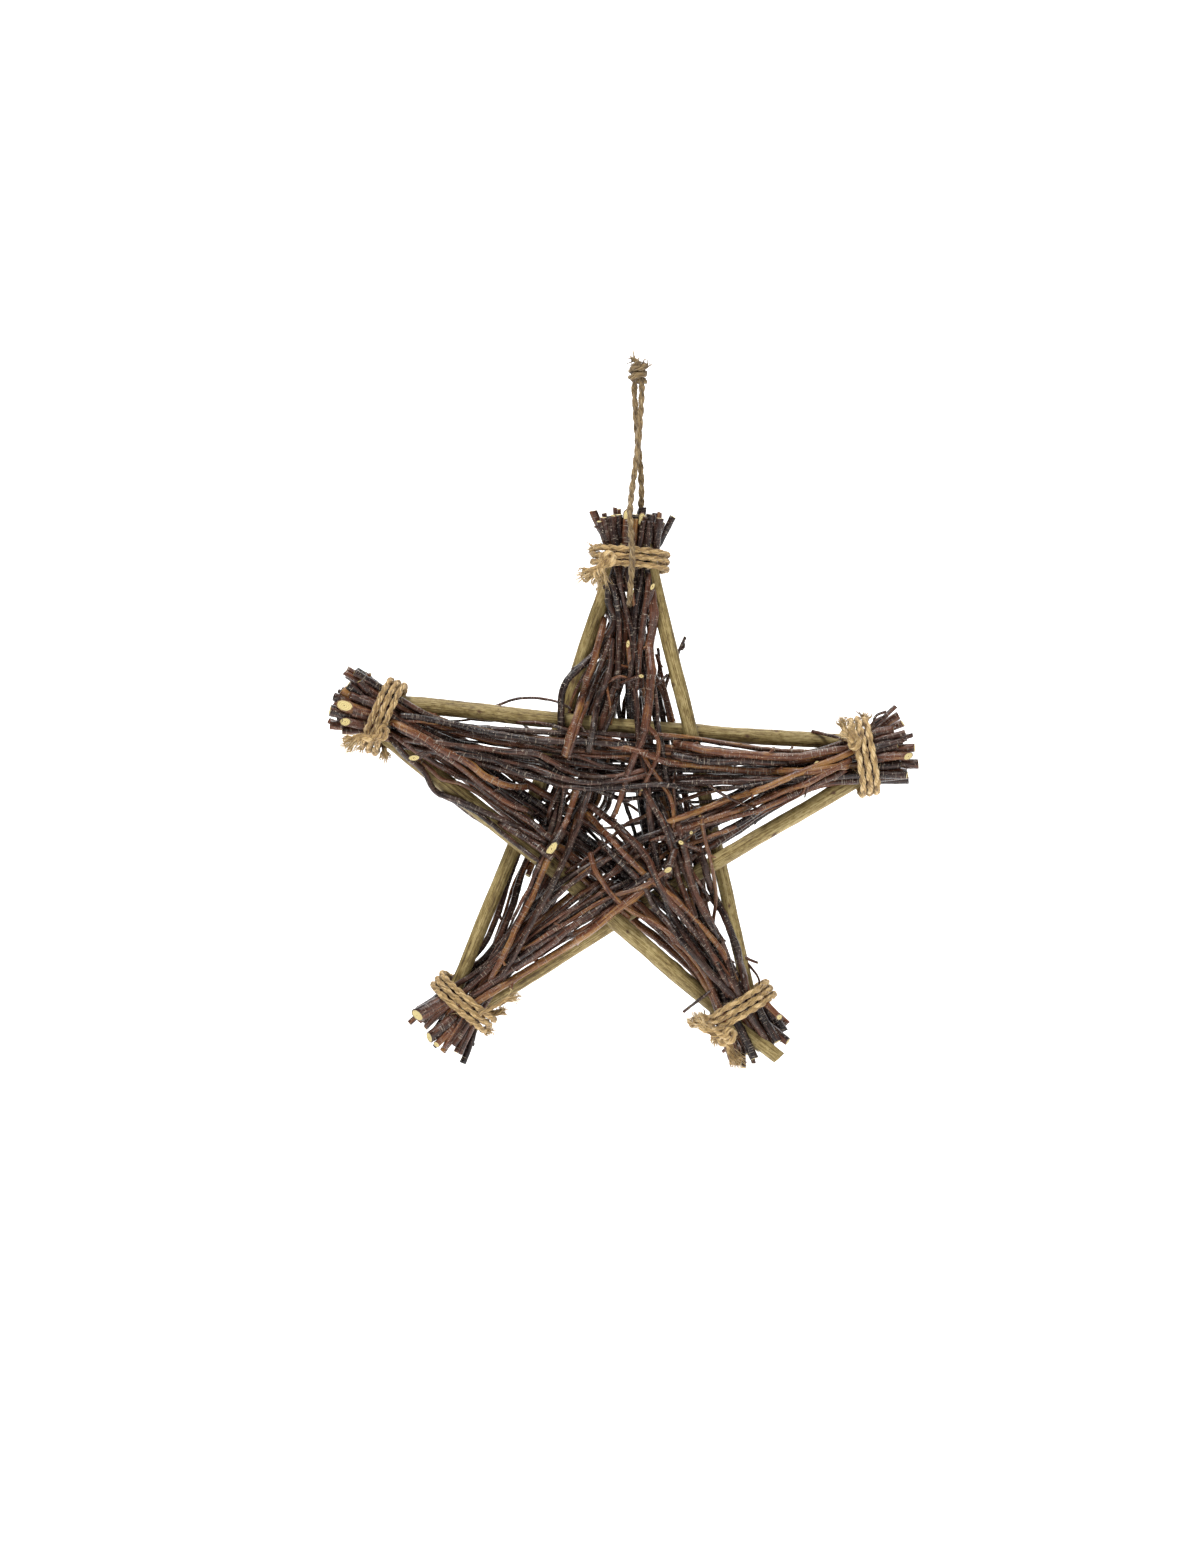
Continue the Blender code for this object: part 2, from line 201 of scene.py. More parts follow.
def frames_along(points: Array) -> tuple[Array, Array, Array]:
    """Finds directions along and across a line that don't twist about it.

    Args:
        points: The line's points.

    Returns:
        The tangents, and two directions across each, one a row.
    """
    tangents = np.gradient(points, axis=0)
    tangents /= np.linalg.norm(tangents, axis=1)[:, None] + 1e-12
    side = np.cross(tangents[0], (0.0, 1.0, 0.0))
    if np.linalg.norm(side) < 0.1:
        side = np.cross(tangents[0], (1.0, 0.0, 0.0))
    normals = np.empty_like(points)
    normals[0] = unit(side)
    for i in range(1, len(points)):
        across = normals[i - 1] - tangents[i] * (normals[i - 1] @ tangents[i])
        normals[i] = across / (np.linalg.norm(across) + 1e-12)
    return tangents, normals, np.cross(tangents, normals)


def ripple(marks: Array, wave: float, dice: Dice) -> Array:
    """Returns a smooth random line between about -1 and 1.

    Args:
        marks: Distances along the stick, in metres.
        wave: The usual distance between two of its peaks.
        dice: The source of its randomness.
    """
    total = np.zeros(len(marks))
    for octave in (1.0, 0.53, 0.29):
        phase = dice.uniform(0, 2 * math.pi)
        total += octave * np.sin(2 * math.pi * marks / (wave * octave * dice.uniform(0.8, 1.25)) + phase)
    return total / 1.5


def falloff(away: Array, width: float) -> Array:
    """Returns 1 at no distance, easing to 0 beyond a width."""
    return np.exp(-((away / width) ** 2))


def scatter(dice: Dice) -> Array:
    """Returns a random step, spread alike in every direction."""
    return np.array([dice.gauss(0, 1) for _ in range(3)])


def straight(begin: Array, end: Array, count: int) -> Array:
    """Returns evenly spaced points from one place to another."""
    return begin + (end - begin) * np.linspace(0, 1, count)[:, None]


def at_depth(plan: Array, depth: Array | float) -> Array:
    """Returns a line in x, y and z, from its x and z and its depth."""
    return np.column_stack([plan[:, 0], np.broadcast_to(depth, len(plan)), plan[:, 1]])


def in_photo(*spots: Pair) -> Array:
    """Turns places in the picture, in its pixels, into x and z in metres."""
    return np.array([((px - HANG_PIXEL[0]) * PIXEL * MM, (HANG_PIXEL[1] - py) * PIXEL * MM) for px, py in spots])


def put(name: str, data: bpy.types.ID) -> bpy.types.Object:
    """Returns a new object that shows some data, in the scene."""
    thing = bpy.data.objects.new(name, data)
    bpy.context.scene.collection.objects.link(thing)
    return thing


class End(Enum):
    """How a tube's end is closed."""

    CUT = "cut"
    POINT = "point"


@dataclass
class Tube:
    """One round run of material: a line, its radii, and how it ends."""

    points: Array
    radii: Array
    sides: int
    tone: float = 0.5
    relief: Array | None = None
    ends: tuple[End, End] = (End.POINT, End.POINT)
    slants: tuple[Pair, Pair] = ((0.0, 0.0), (0.0, 0.0))
    knots: Array | None = None


# How far each kind of end bulges, as a share of its radius
BULGES = {End.CUT: 0.06, End.POINT: 0.35}


@dataclass
class Pot:
    """Gathers tubes and turns them into one mesh object."""

    places: list = field(default_factory=list)
    faces: list = field(default_factory=list)
    slots: list = field(default_factory=list)
    grain: list = field(default_factory=list)
    tones: list = field(default_factory=list)
    knots: list = field(default_factory=list)
    count: int = 0

    def _add(self, places: Array, grain: Array, tone: float, knots: Array | float) -> int:
        """Adds points with their grain place and tone, and returns the first one's number."""
        first = self.count
        self.places.append(places)
        self.grain.append(grain)
        self.tones.append(np.full(len(places), tone))
        self.knots.append(np.broadcast_to(knots, len(places)))
        self.count += len(places)
        return first

    def tube(self, tube: Tube) -> None:
        """Adds a closed tube.

        Args:
            tube: The tube to add. A cut end gets a face of its own material, slot 1.
        """
        points, sides = tube.points, tube.sides
        tangents, across, upward = frames_along(points)
        marks = arc_marks(points)
        turn = 2 * math.pi * np.arange(sides) / sides
        reach = tube.radii[:, None] * (np.ones((len(points), sides)) if tube.relief is None else tube.relief)
        cosines, sines = np.cos(turn), np.sin(turn)
        rings = points[:, None] + reach[..., None] * (
            cosines[None, :, None] * across[:, None] + sines[None, :, None] * upward[:, None]
        )
        for end, (slope, heading) in zip((0, 1), tube.slants):
            if not slope:
                continue
            away = marks if end == 0 else marks[-1] - marks
            ease = np.clip(1 - away / (4 * tube.radii[-end] + 1e-9), 0, 1)
            lean = slope * reach * np.cos(turn - heading)[None, :]
            rings += (ease[:, None] * lean)[..., None] * tangents[:, None]
        grain = np.stack([reach * cosines, reach * sines, np.broadcast_to(marks[:, None], reach.shape)], -1)
        knots = 0.0 if tube.knots is None else tube.knots.reshape(-1)
        first = self._add(rings.reshape(-1, 3), grain.reshape(-1, 3), tube.tone, knots)
        ring, spot = np.meshgrid(np.arange(len(points) - 1), np.arange(sides), indexing="ij")
        low, high = first + ring * sides, first + (ring + 1) * sides
        ahead = (spot + 1) % sides
        quads = np.stack([low + spot, low + ahead, high + ahead, high + spot], -1).reshape(-1, 4)
        self.faces.extend(quads.tolist())
        self.slots.extend([0] * len(quads))
        for end, kind in zip((0, 1), tube.ends):
            self._close(tube, rings[-end], first + (len(points) - 1) * sides * end, tangents[-end], end, kind)

    def _close(self, tube: Tube, ring: Array, first: int, tangent: Array, end: int, kind: End) -> None:
        """Closes one end of a tube, with a bark rim and a wood face where it was cut.

        Args:
            tube: The tube.
            ring: The points round that end.
            first: The first one's number.
            tangent: The tube's direction there.
            end: 0 for its start and 1 for its end.
            kind: How it is closed.
        """
        sides = tube.sides
        middle = ring.mean(axis=0)
        outward = tangent if end else -tangent
        numbers = np.arange(sides)
        ahead = (numbers + 1) % sides
        inner_first, slot = first, 0
        if kind is End.CUT:
            slot = 1
            spokes, ahead_way = ring - middle, unit(ring[0] - middle)
            flat = np.column_stack([spokes @ ahead_way, spokes @ np.cross(tangent, ahead_way), np.zeros(sides)])
            inner_first = self._add(middle + spokes * RIM_SHARE, flat * RIM_SHARE, tube.tone, 0.0)
            rim = np.stack([first + numbers, first + ahead, inner_first + ahead, inner_first + numbers], -1)
            self.faces.extend((rim if end else rim[:, ::-1]).tolist())
            self.slots.extend([0] * sides)
        bulge = outward * tube.radii[-end] * BULGES[kind]
        centre = self._add((middle + bulge)[None], np.zeros((1, 3)), tube.tone, 0.0)
        fan = np.stack([inner_first + numbers, inner_first + ahead, np.full(sides, centre)], -1)
        self.faces.extend((fan if end else fan[:, ::-1]).tolist())
        self.slots.extend([slot] * sides)

    def cook(self, name: str, finishes: list, slot: Slot) -> bpy.types.Object:
        """Makes the object from what was gathered.

        Args:
            name: The piece's name.
            finishes: Its materials, in the order of the face slots.
            slot: The record's material slot; not used.

        Returns:
            The new object, riding on the star's body.
        """
        mesh = bpy.data.meshes.new(name)
        mesh.from_pydata(np.concatenate(self.places).tolist(), [], self.faces)
        for finish in finishes:
            mesh.materials.append(finish)
        mesh.polygons.foreach_set("material_index", np.array(self.slots, dtype=np.int32))
        mesh.shade_smooth()
        grain = mesh.attributes.new("grain", "FLOAT_VECTOR", "POINT")
        grain.data.foreach_set("vector", np.concatenate(self.grain).astype(np.float32).ravel())
        for label, values in (("tone", self.tones), ("knot", self.knots)):
            layer = mesh.attributes.new(label, "FLOAT", "POINT")
            layer.data.foreach_set("value", np.concatenate(values).astype(np.float32))
        piece = put(name, mesh)
        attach(piece, BODY)
        return piece


class Nodes:
    """A short way to write a material's nodes."""

    def __init__(self, name: str) -> None:
        """Makes an empty material with one shader.

        Args:
            name: The material's name.
        """
        self.material = bpy.data.materials.new(name)
        self.material.use_nodes = True
        self.tree = self.material.node_tree
        self.shader = self.tree.nodes["Principled BSDF"]

    def add(self, kind: str, **settings: object) -> bpy.types.Node:
        """Adds a node and sets its properties."""
        node = self.tree.nodes.new(kind)
        for key, value in settings.items():
            setattr(node, key, value)
        return node

    def join(self, start: Socket, end: Socket) -> None:
        """Links one socket to another."""
        self.tree.links.new(start, end)

    def attribute(self, name: str, output: str) -> Socket:
        """Returns a mesh attribute's socket."""
        return self.add("ShaderNodeAttribute", attribute_name=name).outputs[output]

    def stretched(self, vector: Socket, scale: Triple) -> Socket:
        """Returns a place with each of its numbers scaled."""
        node = self.add("ShaderNodeVectorMath", operation="MULTIPLY")
        self.join(vector, node.inputs[0])
        node.inputs[1].default_value = scale
        return node.outputs[0]

    def shifted(self, vector: Socket, tone: Socket) -> Socket:
        """Returns a place moved by a piece's tone, so that no two pieces have the same pattern."""
        push = self.add("ShaderNodeVectorMath", operation="SCALE")
        push.inputs[0].default_value = (3.1, 5.7, 9.3)
        self.join(tone, push.inputs[3])
        total = self.add("ShaderNodeVectorMath", operation="ADD")
        self.join(vector, total.inputs[0])
        self.join(push.outputs[0], total.inputs[1])
        return total.outputs[0]

    def noise(self, vector: Socket, detail: float = 3.0, rough: float = 0.55) -> Socket:
        """Returns a noise between 0 and 1 over a place that is already scaled."""
        node = self.add("ShaderNodeTexNoise")
        node.inputs["Scale"].default_value = 1.0
        node.inputs["Detail"].default_value = detail
        node.inputs["Roughness"].default_value = rough
        self.join(vector, node.inputs["Vector"])
        return node.outputs[0]

    def ramp(self, factor: Socket, stops: list) -> Socket:
        """Returns the colour of a ramp.

        Args:
            factor: Where on the ramp, from 0 to 1.
            stops: Each stop's place and its colour.
        """
        node = self.add("ShaderNodeValToRGB")
        elements = node.color_ramp.elements
        elements[0].position, elements[-1].position = stops[0][0], stops[-1][0]
        for place, _ in stops[1:-1]:
            elements.new(place)
        for element, (_, colour) in zip(elements, stops):
            element.color = (*colour, 1.0)
        self.join(factor, node.inputs[0])
        return node.outputs[0]

    def mask(self, factor: Socket, low: float, high: float) -> Socket:
        """Returns 0 under one value and 1 over another, with a soft step between them."""
        node = self.add("ShaderNodeMapRange", interpolation_type="SMOOTHSTEP")
        self.join(factor, node.inputs[0])
        node.inputs[1].default_value = low
        node.inputs[2].default_value = high
        return node.outputs[0]

    def mix(self, factor: object, first: object, second: object, blend: str = "MIX") -> Socket:
        """Returns two colours mixed. Each input is a socket or a plain value."""
        node = self.add("ShaderNodeMix", data_type="RGBA", blend_type=blend)
        for socket, value in zip((node.inputs[0], node.inputs[6], node.inputs[7]), (factor, first, second)):
            if isinstance(value, Socket):
                self.join(value, socket)
            elif isinstance(value, tuple):
                socket.default_value = (*value, 1.0)
            else:
                socket.default_value = value
        return node.outputs[2]

    def sum(self, *parts: tuple[Socket, float]) -> Socket:
        """Returns a sum of values, each times its weight."""
        total = None
        for socket, weight in parts:
            node = self.add("ShaderNodeMath", operation="MULTIPLY_ADD")
            self.join(socket, node.inputs[0])
            node.inputs[1].default_value = weight
            if total is None:
                node.inputs[2].default_value = 0.0
            else:
                self.join(total, node.inputs[2])
            total = node.outputs[0]
        return total

    def math(self, operation: str, socket: Socket, value: float = 0.0) -> Socket:
        """Returns what an operation makes of a socket and a plain value."""
        node = self.add("ShaderNodeMath", operation=operation)
        self.join(socket, node.inputs[0])
        node.inputs[1].default_value = value
        return node.outputs[0]

    def finish(self, colour: Socket, rough: Socket | float, height: Socket, depth: float) -> bpy.types.Material:
        """Joins the colour, roughness and bump to the shader.

        Args:
            colour: The base colour.
            rough: The roughness.
            height: The bump's height, about 0 to 1.
            depth: What a height of 1 is in metres.

        Returns:
            The finished material.
        """
        self.join(colour, self.shader.inputs["Base Color"])
        if isinstance(rough, Socket):
            self.join(rough, self.shader.inputs["Roughness"])
        else:
            self.shader.inputs["Roughness"].default_value = rough
        bump = self.add("ShaderNodeBump")
        bump.inputs["Strength"].default_value = 1.0
        bump.inputs["Distance"].default_value = depth
        self.join(height, bump.inputs["Height"])
        self.join(bump.outputs[0], self.shader.inputs["Normal"])
        return self.material


class GrainNodes(Nodes):
    """The nodes of a material that follows the grain of each piece."""

    def __init__(self, name: str) -> None:
        """Starts the material and reads each piece's tone and grain.

        Args:
            name: The material's name.
        """
        super().__init__(name)
        self.tone = self.attribute("tone", "Fac")
        self.grain = self.attribute("grain", "Vector")

    def pattern(self, scale: Triple, detail: float = 3.0, rough: float = 0.55) -> Socket:
        """Returns a noise that follows the grain and starts elsewhere on each piece.

        Args:
            scale: How fine it is: across the grain both ways, and along it.
            detail: How many finer levels it has.
            rough: How strong those are.
        """
        return self.noise(self.shifted(self.stretched(self.grain, scale), self.tone), detail, rough)


@dataclass(frozen=True)
class Bark:
    """Thin dark bark: purple-brown to red-brown, a little glossy, with pale specks that are partly real marks on the
    bark and partly painted highlight glints.
    """

    name: str = "dark_bark"
    darkest: Triple = (0.0075, 0.0035, 0.0035)
    brown: Triple = (0.036, 0.0165, 0.0115)
    red: Triple = (0.112, 0.038, 0.018)
    tan: Triple = (0.26, 0.125, 0.033)
    # Greyish patches: partly weathered bark, partly painted highlight
    grey_and_highlight: Triple = (0.150, 0.112, 0.088)
    # Pale specks: partly real marks on the bark, partly painted highlight glints
    fleck_and_glint: Triple = (0.60, 0.50, 0.39)
    gloss: float = 0.24

    def material(self) -> bpy.types.Material:
        """Builds the material."""
        n = GrainNodes(self.name)
        streak = n.pattern((1100, 1100, 70), 4.0, 0.62)
        patch = n.pattern((260, 260, 45))
        fleck_and_glint = n.pattern((1500, 1500, 900), 2.0, 0.7)
        ring = n.pattern((180, 180, 2200), 2.0)
        depth = n.sum((streak, 0.62), (patch, 0.55), (n.tone, 0.34))
        colour = n.ramp(depth, [(0.58, self.darkest), (0.71, self.brown), (0.86, self.red), (1.0, self.tan)])
        # Greyish patches laid over the bark colour: partly weathering, partly painted highlight
        weather_and_highlight = n.pattern((70, 70, 16))
        worn = n.mix(n.sum((n.mask(weather_and_highlight, 0.56, 0.74), 0.36)), colour, self.grey_and_highlight)
        # Mixes in the pale specks: partly real marks, partly painted highlight glints
        speckled_and_glinting = n.mix(n.mask(fleck_and_glint, 0.645, 0.73), worn, self.fleck_and_glint)
        ringed = n.mix(n.mask(ring, 0.60, 0.70), speckled_and_glinting, tuple(0.45 * c for c in self.fleck_and_glint))
        height = n.sum((streak, 0.7), (fleck_and_glint, 0.5), (ring, 0.25))
        rough = n.sum((patch, 0.30), (streak, 0.18))
        lifted = n.math("ADD", rough, self.gloss - 0.2)
        n.shader.inputs["Specular IOR Level"].default_value = 0.32
        return n.finish(ringed, lifted, height, 0.00035)


@dataclass(frozen=True)
class PeeledWood:
    """Peeled poles, weathered olive-tan, with long grain, knots and thin rests of bark."""

    name: str = "peeled_wood"
    pale: Triple = (0.405, 0.32, 0.145)
    olive: Triple = (0.195, 0.138, 0.048)
    dark: Triple = (0.075, 0.048, 0.019)
    rest: Triple = (0.075, 0.038, 0.018)

    def material(self) -> bpy.types.Material:
        """Builds the material."""
        n = GrainNodes(self.name)
        knot = n.attribute("knot", "Fac")
        fibre = n.pattern((1900, 1900, 28), 3.0, 0.6)
        band = n.pattern((420, 420, 9))
        cloud = n.pattern((90, 90, 30), 4.0, 0.6)
        mottle = n.pattern((850, 850, 230), 4.0, 0.7)
        pore = n.pattern((1900, 1900, 620), 2.0, 0.7)
        depth = n.sum((fibre, 0.44), (band, 0.18), (cloud, 0.26), (mottle, 0.42))
        colour = n.ramp(depth, [(0.53, self.dark), (0.62, self.olive), (0.76, self.pale), (0.9, self.pale)])
        bark = n.mix(n.mask(cloud, 0.66, 0.72), colour, self.rest)
        pored = n.mix(n.mask(pore, 0.63, 0.70), bark, self.dark)
        knotted = n.mix(n.mask(knot, 0.25, 0.9), pored, self.rest)
        height = n.sum((fibre, 0.8), (pore, -0.4), (cloud, 0.3))
        n.shader.inputs["Specular IOR Level"].default_value = 0.25
        return n.finish(knotted, 0.55, height, 0.00022)


@dataclass(frozen=True)
class CutWood:
    """The cream face of a cut end, with rings and a dark pith."""

    name: str = "cut_wood"
    cream: Triple = (0.64, 0.53, 0.25)
    ring: Triple = (0.40, 0.30, 0.11)
    pith: Triple = (0.22, 0.14, 0.05)
    ring_count: float = 9000.0

    def material(self) -> bpy.types.Material:
        """Builds the material."""
        n = GrainNodes(self.name)
        length = n.add("ShaderNodeVectorMath", operation="LENGTH")
        n.join(n.grain, length.inputs[0])
        rings = n.math("SINE", n.math("MULTIPLY", length.outputs["Value"], self.ring_count))
        saw = n.pattern((900, 3500, 900), 3.0, 0.65)
        ringed = n.mix(n.mask(rings, 0.2, 1.0), self.cream, self.ring)
        worn = n.mix(n.mask(saw, 0.52, 0.75), ringed, self.ring)
        colour = n.mix(n.mask(length.outputs["Value"], 0.00045, 0.00015), worn, self.pith)
        n.shader.inputs["Specular IOR Level"].default_value = 0.25
        return n.finish(colour, 0.75, saw, 0.0002)


@dataclass(frozen=True)
class Jute:
    """Golden jute, darker between its fibres."""

    name: str = "jute"
    gold: Triple = (0.57, 0.39, 0.170)
    tan: Triple = (0.29, 0.18, 0.072)
    dark: Triple = (0.075, 0.042, 0.017)
    pale: Triple = (0.84, 0.66, 0.38)

    def material(self) -> bpy.types.Material:
        """Builds the material."""
        n = GrainNodes(self.name)
        fibre = n.pattern((5200, 5200, 190), 3.0, 0.65)
        thread = n.pattern((2300, 2300, 260), 3.0, 0.7)
        slow = n.pattern((300, 300, 120), 2.0)
        depth = n.sum((fibre, 0.30), (thread, 0.50), (slow, 0.15), (n.tone, 0.42))
        colour = n.ramp(depth, [(0.46, self.dark), (0.60, self.tan), (0.76, self.gold), (0.92, self.pale)])
        n.shader.inputs["Sheen Weight"].default_value = 0.25
        n.shader.inputs["Sheen Roughness"].default_value = 0.5
        n.shader.inputs["Specular IOR Level"].default_value = 0.2
        return n.finish(colour, 0.82, fibre, 0.00025)


def welded(mesh: bpy.types.Mesh) -> tuple[Array, Array]:
    """Joins a mesh's points that are in one place.

    Args:
        mesh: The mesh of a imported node.

    Returns:
        The points, and the triangles as rows of point numbers.
    """
    places = np.empty(len(mesh.vertices) * 3, np.float32)
    mesh.vertices.foreach_get("co", places)
    places = places.reshape(-1, 3).astype(float)
    keys = np.round(places / WELD_GAP).astype(np.int64)
    _, first, number = np.unique(keys, axis=0, return_index=True, return_inverse=True)
    mesh.calc_loop_triangles()
    corners = np.empty(len(mesh.loop_triangles) * 3, np.int32)
    mesh.loop_triangles.foreach_get("vertices", corners)
    return places[first], number.reshape(-1)[corners].reshape(-1, 3)


def round_cap(points: Array, triangles: Array, sides: int) -> set[int]:
    """Finds one flat, round end of a solid tube.

    Args:
        points: The tube's points.
        triangles: Its triangles.
        sides: How many points go round it.

    Returns:
        The numbers of the points round that end.
    """
    first, second, third = (points[triangles[:, k]] for k in range(3))
    normals = np.cross(second - first, third - first)
    normals /= np.linalg.norm(normals, axis=1)[:, None] + 1e-15
    shared: dict[tuple[int, int], list[int]] = {}
    for number, (i, j, k) in enumerate(triangles.tolist()):
        for pair in ((i, j), (j, k), (k, i)):
            shared.setdefault((min(pair), max(pair)), []).append(number)
    level: list[list[int]] = [[] for _ in triangles]
    for m, n in shared.values():
        if normals[m] @ normals[n] > LEVEL_COSINE:
            level[m].append(n)
            level[n].append(m)
    for start in range(len(triangles)):
        region, waiting = {start}, [start]
        while waiting:
            for n in level[waiting.pop()]:
                if n not in region:
                    region.add(n)
                    waiting.append(n)
        corners = set(triangles[sorted(region)].ravel().tolist())
        if len(region) == sides - 2 and len(corners) == sides:
            rim = points[sorted(corners)]
            reach = np.linalg.norm(rim - rim.mean(axis=0), axis=1)
            if reach.max() < ROUND_RATIO * reach.min():
                return corners
    raise ValueError("a node has no round end")


def route_of(node: str, sides: int) -> tuple[Array, Array]:
    """Reads a packed tube's centre line and radii.

    Args:
        node: The node's name.
        sides: How many points go round it.

    Returns:
        The middle of each ring of points, and each ring's radius.
    """
    points, triangles = welded(frame["nodes"][node].data)
    near: list[set[int]] = [set() for _ in points]
    for i, j, k in triangles.tolist():
        near[i] |= {j, k}
        near[j] |= {i, k}
        near[k] |= {i, j}
    ring = round_cap(points, triangles, sides)
    done, rings = set(ring), [ring]
    while len(done) < len(points):
        ring = set().union(*(near[v] for v in ring)) - done
        done |= ring
        rings.append(ring)
    middles = np.array([points[sorted(r)].mean(axis=0) for r in rings])
    radii = np.array([np.linalg.norm(points[sorted(r)] - m, axis=1).mean() for r, m in zip(rings, middles)])
    return middles, radii


def facing(route: Array, radii: Array, start: Array) -> tuple[Array, Array]:
    """Turns a route round where its last point is the nearer one to a place.

    Args:
        route: The route's points.
        radii: A radius at each.
        start: The place.

    Returns:
        The route and its radii, starting near the place.
    """
    if np.linalg.norm(route[0] - start) > np.linalg.norm(route[-1] - start):
        return route[::-1], radii[::-1]
    return route, radii


def tip_frame(tip: str) -> tuple[Array, Array, Array]:
    """Returns a tip's middle in x and z, the direction out from the star's middle, and the one across."""
    place = np.array(TIPS[tip])
    out = unit(place - STAR_MIDDLE)
    return place, out, np.array([-out[1], out[0]])


def tip_place(tip: str) -> Array:
    """Returns the middle of a tip's binding."""
    x, z = TIPS[tip]
    return np.array([x, 0.0, z])


@dataclass
class Stick:
    """A stick's line and radii, close enough together to lay others on it."""

    line: Array
    radii: Array

    @staticmethod
    def along(route: Array, radii: Array, step: float = 1.5 * MM) -> "Stick":
        """Makes a stick from a coarse route.

        Args:
            route: The route's points.
            radii: A radius at each.
            step: The distance between the stick's points.
        """
        line = even_curve(route, step)
        shares = np.linspace(0, 1, len(line))
        marks = arc_marks(route)
        return Stick(line, np.interp(shares, marks / marks[-1], radii))


class Pile:
    """Sticks that are already in place, to rest more on."""

    def __init__(self) -> None:
        """Starts with no sticks."""
        self.sticks: list[Stick] = []

    def add(self, stick: Stick) -> None:
        """Puts a stick on the pile."""
        self.sticks.append(stick)

    def rest(self, plan: Array, radius: float, way: int, window: float) -> Array:
        """Finds the depth that a stick has where it lies on this pile.

        Args:
            plan: The stick's line as rows of x and z, about evenly spaced.
            radius: Its radius.
            way: FRONT or BEHIND.
            window: Half the length over which it stays clear of a bump.

        Returns:
            The stick's depth at each of its points.
        """
        depth = np.full(len(plan), np.nan)
        for stick in self.sticks:
            low, high = stick.line.min(axis=0) - 0.01, stick.line.max(axis=0) + 0.01
            if (plan.max(axis=0) < low[[0, 2]]).any() or (plan.min(axis=0) > high[[0, 2]]).any():
                continue
            sideways = plan[:, None, 0] - stick.line[None, :, 0]
            upward = plan[:, None, 1] - stick.line[None, :, 2]
            gaps = sideways**2 + upward**2
            nearest = gaps.argmin(axis=1)
            reach = (stick.radii[nearest] + radius) ** 2 - gaps[np.arange(len(plan)), nearest]
            touched = reach > 0
            level = way * stick.line[nearest, 1] + np.sqrt(np.where(touched, reach, 0.0))
            level[~touched] = np.nan
            depth = np.fmax(depth, level)
        known = ~np.isnan(depth)
        if not known.any():
            return np.zeros(len(plan))
        marks = arc_marks(plan)
        depth = np.interp(marks, marks[known], depth[known])
        span = max(1, int(round(window / max(marks[-1] / len(plan), 1e-6))))
        padded = np.pad(depth, span, mode="edge")
        highest = np.lib.stride_tricks.sliding_window_view(padded, 2 * span + 1).max(axis=1)
        bell = np.exp(-0.5 * (np.arange(-span, span + 1) / (0.5 * span + 0.5)) ** 2)
        eased = np.convolve(np.pad(highest, span, mode="edge"), bell / bell.sum(), mode="valid")
        return way * (np.maximum(eased, depth) + GAP)


